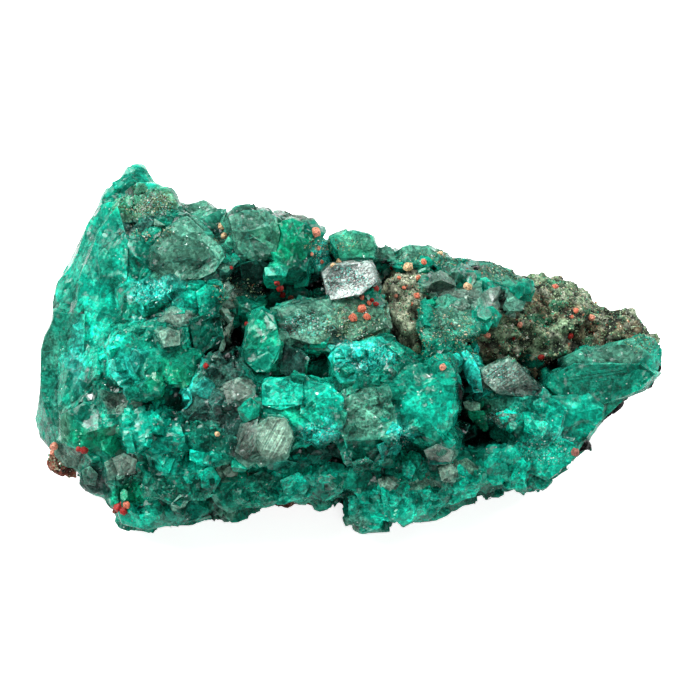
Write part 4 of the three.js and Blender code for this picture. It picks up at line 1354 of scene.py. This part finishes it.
def single_crystals(material, crust, trees):
    """The crystals that stand clear of the mass, each with its own outline, faces and tint."""
    bodies, facets, tints = [], [], []

    def longest(middles):
        return np.full(len(middles), SINGLE_EDGE)

    for number, (tint, tone, corners) in enumerate(SINGLES):
        points, faces = convex_solid(single_body(stone_plane(trees, corners), corners))
        facet, centres = flat_facets(points, faces)
        points, faces, facet = refined(points, faces, facet, longest)
        marks = np.column_stack([np.arange(len(centres)), np.full(len(centres), number)])
        part = 0.65 * np.array(TINTS[tint]) * tone + 0.35 * patch_colours(centres)
        part = part * (0.7 + 0.6 * scrambled(marks, 7))[:, None]
        bodies.append((points, faces))
        facets.append(facet)
        tints.append(part[facet])
    points, faces = joined(*bodies)
    points[:, 2] = np.maximum(points[:, 2], 0.0)
    crease = crease_points(points, faces, np.concatenate(facets))
    swell = 0.5 * broken_relief(points, *SINGLE_FACES)[0] + 0.04 * soft_noise(points, 0.8, 57)
    points = points + corner_normals(points, faces) * (swell * (1.0 - crease))[:, None]
    above, _ = over_surface(points, crust[4])
    # painted shade at the foot of each crystal, where it meets the crust
    tone = (0.45 + 0.55 * smooth_step(-0.05, 0.35, above)) * mottled(points)
    colours = np.repeat(np.vstack(tints), 3, axis=0) * tone[faces.ravel()][:, None]
    # the single crystals' creases carry a painted highlight
    values = crystal_values(points, np.ones(len(points)), crease * smooth_step(0.1, 0.4, above))
    colours = np.clip(colours, 0, 1)
    mesh_piece("single_crystals", material, "dioptase", points, faces, colours, values, CREASE)
    return points, faces


def broken_plate(rng):
    """A flat broken piece of crystal one unit wide, its top split into a few faces."""
    count = int(rng.integers(5, 8))
    turn = rng.uniform(0.0, 2.0 * math.pi)
    corners = []
    for k in range(count):
        angle = turn + 2.0 * math.pi * (k + rng.uniform(-0.25, 0.25)) / count
        x, y = math.cos(angle) * rng.uniform(0.34, 0.5), math.sin(angle) * rng.uniform(0.3, 0.5)
        corners.append((x, y, rng.uniform(-0.10, 0.0)))
        corners.append((x * 1.2, y * 1.2, -0.45))
    corners.append((rng.uniform(-0.1, 0.1), rng.uniform(-0.1, 0.1), 0.05))
    return convex_solid(corners)


def crystal_plates(material, crust, count, width, seed):
    """Broken faces a few millimetres wide, almost sunk in the crust, that give it sharp edges."""
    points, faces, normals, free, _ = crust
    rng = np.random.default_rng(seed)
    centre = points[faces].mean(axis=1)
    face_free = free[faces].mean(axis=1)
    back = back_share(centre, unit(face_normals(points, faces)))
    weight = smooth_step(0.45, 0.7, face_free) * (1.0 - 0.8 * largest_reach(centre, CALM))
    weight *= smooth_step(0.8, 1.6, centre[:, 2]) * (1.0 - largest_reach(centre, HOLLOWS))
    weight *= smooth_step(14.0, 28.0, depth_in(RIM, *window_place(centre))[0]) * off_singles(centre)
    weight *= 1.0 + 2.5 * reach_of(centre, *FRONT_BAND)
    weight *= 1.0 + 2.0 * back
    places, chosen = sampled(points, faces, weight, count, rng)
    way = unit(normals[faces[chosen]].mean(axis=1))
    way = unit(way + rng.normal(size=way.shape) * 0.16)
    size = rng.uniform(*width, count) * (1.0 + 0.5 * back[chosen])
    heads = places + way * (size * (rng.uniform(0.0, 0.09, count) + 0.08 * back[chosen]))[:, None]
    shapes = [broken_plate(rng) for _ in range(16)]
    sizes = np.stack([size, size * rng.uniform(0.55, 1.0, count), size * 0.8], axis=1)
    # random tone, with painted shade on plates in closed-in places
    tone = rng.uniform(0.65, 1.35, count) * (0.3 + 0.7 * smooth_step(0.3, 0.75, face_free[chosen]))
    tints = patch_colours(places) * tone[:, None]
    plates, plate_faces, colours = scattered(shapes, heads, frames_from(way, rng), sizes, tints, rng, 0.35)
    plates[:, 2] = np.maximum(plates[:, 2], 0.0)
    values = crystal_values(plates, np.ones(len(plates)), np.zeros(len(plates)))
    values["groove"][:] = 0.0
    mesh_piece("crystal_plates", material, "dioptase", plates, plate_faces, colours, values)
    return plates, plate_faces


def rock_body(material):
    """The rock under the crystals, gritty on the hump and red-brown at its front rim."""
    points, faces = read_node("matrix_rock")

    def longest(middles):
        return np.where(middles[:, 2] < 0.05, UNDER_EDGE, FINEST_EDGE)

    points, faces, _ = refined(points, faces, np.zeros(len(faces), int), longest)
    right_front = smooth_step(12.0, 16.0, points[:, 0]) * smooth_step(8.0, 5.0, points[:, 2])
    points = points + np.outer(right_front, (-0.6, 1.6, 0.0))
    rough, tone = broken_relief(points, *ROCK_LUMPS)
    fine, fine_tone = broken_relief(points, *ROCK_CHIPS)
    swell = soft_noise(points, 2.6, 71) * 0.35
    keep = smooth_step(0.02, 0.8, points[:, 2])
    moved = points + corner_normals(points, faces) * ((rough + fine + swell - 0.05) * keep)[:, None]
    moved[:, 2] = np.where(points[:, 2] < 0.01, points[:, 2], np.maximum(moved[:, 2], 0.02))

    base = np.outer(np.ones(len(moved)), ROCK_GREEN)
    for size, seed, tint in ROCK_BLOTCHES:
        part = smooth_step(0.1, 0.5, soft_noise(moved, size, seed))[:, None]
        base = base * (1 - part) + np.array(tint) * part
    strip = reach_of(moved, *PALE_STRIP)[:, None]
    base = base * (1 - 0.8 * strip) + np.array(ROCK_PALE) * 0.8 * strip
    red = np.maximum(smooth_step(-12.0, -18.0, moved[:, 0]), smooth_step(4.5, 2.5, moved[:, 2]))[:, None]
    rust = np.array(ROCK_RUST) * (1.0 + 0.6 * soft_noise(moved, 1.7, 87))[:, None]
    base = base * (1 - 0.9 * red) + rust * 0.9 * red
    # painted shade where the rock's relief dips
    low = smooth_step(0.10, -0.25, (rough + fine)[:, None])
    base *= (0.5 + 0.9 * fine_tone * (0.5 + 0.5 * tone))[:, None] * (1.0 - 0.85 * low)
    colours = np.clip(base[faces.ravel()], 0, 1)
    piece = mesh_piece("rock_body", material, "matrix", moved, faces, colours, None, ROCK_CREASE)
    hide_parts("matrix_rock")
    return moved, faces


def crystal_scatter(name, material, crust, count, width, seed, in_gaps, tall):
    """Small crystals that stand out of the crust, mostly in its gaps and along its edges."""
    points, faces, normals, free, _ = crust
    rng = np.random.default_rng(seed)
    face_free = free[faces].mean(axis=1)
    centre = points[faces].mean(axis=1)
    ways = unit(face_normals(points, faces))
    weight = (1.0 - in_gaps) + in_gaps * smooth_step(0.85, 0.45, face_free)
    weight = weight + 0.9 * back_share(centre, ways)
    weight *= smooth_step(0.8, 1.6, centre[:, 2])
    weight *= (0.25 + largest_reach(centre, RUGGED)) * (1.0 - largest_reach(centre, HOLLOWS))
    weight *= smooth_step(12.0, 24.0, depth_in(RIM, *window_place(centre))[0]) * off_singles(centre)
    places, chosen = sampled(points, faces, weight, count, rng)
    way = ways[chosen]
    lean = unit(way + 0.55 * rng.normal(size=way.shape) * 0.8 + 0.25 * normals[faces[chosen, 0]])
    size = rng.uniform(*width, count) * rng.choice([0.7, 1.0, 1.25], count)
    heads = places + lean * (size * rng.uniform(0.15, tall, count))[:, None]
    fresh = rng.choice(len(CRUMB_TINTS), count, p=CRUMB_CHANCES)
    own = np.array([TINTS[t] for t in CRUMB_TINTS])[fresh]
    mix = rng.uniform(0.0, 0.45, (count, 1))
    colours = patch_colours(places) * (1 - mix) + own * mix
    # painted shade on crystals in closed-in places of the crust
    colours *= (0.25 + 0.95 * smooth_step(0.15, 0.7, face_free[chosen]))[:, None]
    shapes = [small_crystal(rng, 1.6) for _ in range(8)] + [splinter(rng, 9) for _ in range(4)]
    sizes = np.repeat(size[:, None], 3, axis=1)
    made = scattered(shapes, heads, frames_from(lean, rng), sizes, colours, rng, 0.3)
    mesh_piece(name, material, "dioptase", *made)


def rock_grit(material, rock, crust_tree):
    """Grit of many colours on the rock where it is bare."""
    points, faces = rock
    rng = np.random.default_rng(91)
    centre = points[faces].mean(axis=1)
    way = unit(face_normals(points, faces))
    start = centre + way * 0.3
    hits = [crust_tree.ray_cast(Vector(p), Vector(w), 2.0)[0] for p, w in zip(start.tolist(), way.tolist())]
    bare = np.array([1.0 if hit is None else 0.0 for hit in hits])
    weight = bare * (0.15 + smooth_step(2.5, 4.5, centre[:, 2]))
    weight *= smooth_step(-0.3, 0.3, way @ TO_VIEWER) + 0.25
    weight *= centre[:, 2] > 0.4
    count = 22000
    places, chosen = sampled(points, faces, weight, count, rng)
    size = 0.12 + 0.34 * rng.random(count) ** 2.5
    tints = np.array(GRIT_TINTS)[rng.choice(len(GRIT_TINTS), count, p=GRIT_CHANCES)]
    shapes = [splinter(rng, 6) for _ in range(8)]
    sizes = np.repeat(size[:, None], 3, axis=1)
    made = scattered(shapes, places, frames_from(way[chosen], rng), sizes, tints, rng, 0.3)
    mesh_piece("rock_grit", material, "matrix", *made)


def sprinkle(name, material, surface, zones, count, width, tints, chances, seed):
    """Tiny broken grains over some zones of a surface, sunk to about half in it."""
    points, faces = surface
    rng = np.random.default_rng(seed)
    centre = points[faces].mean(axis=1)
    way = unit(face_normals(points, faces))
    weight = largest_reach(centre, zones) * smooth_step(-0.1, 0.15, way @ TO_VIEWER) * (centre[:, 2] > 0.5)
    places, chosen = sampled(points, faces, weight, count, rng)
    own = np.array(tints)[rng.choice(len(tints), count, p=chances)]
    sizes = rng.uniform(*width, count)[:, None] * rng.uniform(0.6, 1.2, (count, 3))
    shapes = [splinter(rng, 6) for _ in range(8)]
    made = scattered(shapes, places, frames_from(way[chosen], rng), sizes, own, rng, 0.3)
    mesh_piece(name, material, "dioptase", *made)


def rounded_grain(rng):
    """A rounded grain with a few dents, one unit across."""
    body = bmesh.new()
    bmesh.ops.create_icosphere(body, subdivisions=2, radius=0.5)
    for vertex in body.verts:
        vertex.co *= 1.0 - rng.uniform(0.0, 0.26)
    return corners_and_faces(body)


def loose_grains(material, trees):
    """Rounded orange, red and cream grains, each bedded in the stone under it."""
    rng = np.random.default_rng(17)
    places, ways, sizes, tints = [], [], [], []
    for across, down, width, kind in GRAINS:
        hit = first_hit(trees, across, down)
        if hit is None:
            continue
        place, normal, _ = hit
        places.append(place + normal * width * 0.06)
        ways.append(normal)
        sizes.append([width, width * rng.uniform(0.8, 1.0), width * rng.uniform(0.75, 0.95)])
        tints.append(GRAIN_TINTS[kind])
    shapes = [rounded_grain(rng) for _ in range(6)]
    axes = frames_from(unit(np.array(ways)), rng)
    made = scattered(shapes, np.array(places), axes, np.array(sizes), np.array(tints), rng, 0.12)
    mesh_piece("bedded_grains", material, "matrix", *made)


def studio():
    """A pale floor, soft light from behind and above, and the camera."""
    scene = bpy.context.scene
    floor_mesh = bpy.data.meshes.new("floor")
    corners = [(x * FLOOR_HALF, y * FLOOR_HALF, 0) for x, y in ((-1, -1), (1, -1), (1, 1), (-1, 1))]
    floor_mesh.from_pydata(corners, [], [(0, 1, 2, 3)])
    floor = bpy.data.objects.new("floor", floor_mesh)
    scene.collection.objects.link(floor)
    material, graph, shader = new_material("pale_floor")
    seen = graph.node("LightPath", {})["Is Camera Ray"]
    graph.put(shader, {
        "Base Color": (0.95, 0.95, 0.95, 1.0),
        "Roughness": 0.9,
        "Emission Color": (1.0, 1.0, 1.0, 1.0),
        "Emission Strength": graph.ranged(seen, 0.0, 1.0, 0.05, 0.75),
    })
    floor_mesh.materials.append(material)

    scene.world = bpy.data.worlds.new("studio")
    scene.world.use_nodes = True
    background = scene.world.node_tree.nodes["Background"].inputs
    background["Color"].default_value = (1.0, 1.0, 1.0, 1.0)
    background["Strength"].default_value = 0.12

    for name, place, size, power in SOFTBOXES:
        softbox(name, place, size, power)

    lens = bpy.data.cameras.new("camera")
    lens.sensor_width = SENSOR_MM
    lens.lens = SENSOR_MM * VIEW_DISTANCE / WINDOW_WIDTH_MM
    camera = bpy.data.objects.new("camera", lens)
    camera.location = Vector(VIEWER * MM)
    camera.rotation_euler = (math.radians(90) - VIEW_TILT, 0.0, 0.0)
    scene.collection.objects.link(camera)
    scene.camera = camera
    scene.view_settings.view_transform = "Standard"


def softbox(name, place, size, power):
    """A square light that is turned to the middle of the stone."""
    light = bpy.data.lights.new(name, "AREA")
    light.shape = "SQUARE"
    light.size = size
    light.energy = power
    lamp = bpy.data.objects.new(name, light)
    lamp.location = place
    aim = Vector((0.0, 0.0, 0.008)) - Vector(place)
    lamp.rotation_euler = aim.to_track_quat("-Z", "Y").to_euler()
    bpy.context.scene.collection.objects.link(lamp)


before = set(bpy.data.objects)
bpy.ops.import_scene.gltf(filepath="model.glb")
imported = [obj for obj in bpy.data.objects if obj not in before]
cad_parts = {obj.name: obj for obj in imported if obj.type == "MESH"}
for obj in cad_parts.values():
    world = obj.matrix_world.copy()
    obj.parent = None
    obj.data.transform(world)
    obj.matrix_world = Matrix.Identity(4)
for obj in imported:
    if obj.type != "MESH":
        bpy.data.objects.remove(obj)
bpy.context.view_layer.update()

studio()
grain_group = stone_grain_group()
glint_nodes = glint_group()
crystal_green = crystal_material(grain_group, glint_nodes, fracture_group())
gritty_rock = matrix_material(grain_group, glint_nodes)
small_green = crumb_material("small_crystal_green", grain_group, 0.2, 0.4)
grit_stone = crumb_material("grit", grain_group, 0.45, 0.0)
grain_stone = crumb_material("bedded_grain", grain_group, 0.55, 0.2)

crust = crystal_crust(crystal_green)
rock = rock_body(gritty_rock)
trees = [crust[4], tree_of(*rock)]
share = 1.0
flat_faces = crystal_faces(crystal_green, crust)
singles = single_crystals(crystal_green, crust, trees)
plates = crystal_plates(crystal_green, crust, int(1250 * share), (1.2, 3.2), 97)
upper = joined(crust, flat_faces, singles)
trees += [tree_of(*singles), tree_of(*flat_faces), tree_of(*plates)]
crystal_scatter("small_crystals", small_green, crust, int(420 * share), (0.6, 1.4), 101, 0.9, 0.2)
crystal_scatter("crystal_druse", small_green, crust, int(6000 * share), (0.16, 0.4), 103, 0.85, 0.3)
rock_grit(grit_stone, rock, crust[4])
for name, material, surface, zones, count, width, tints, chances, seed in (
    ("olive_grit", grit_stone, upper, GRITTY, 11000, (0.12, 0.40), GRIT_TINTS, GRIT_CHANCES, 113),
    # black grains laid flush as the painted shade of pits
    ("black_pits", grit_stone, singles, [SPECKLED], 420, (0.14, 0.36), PIT_TINTS, PIT_CHANCES, 127),
    ("white_sugar", small_green, upper, FROSTED, 2400, (0.06, 0.20), SUGAR_TINTS, SUGAR_CHANCES, 131),
):
    sprinkle(name, material, surface, zones, int(count * share), width, tints, chances, seed)
loose_grains(grain_stone, trees)
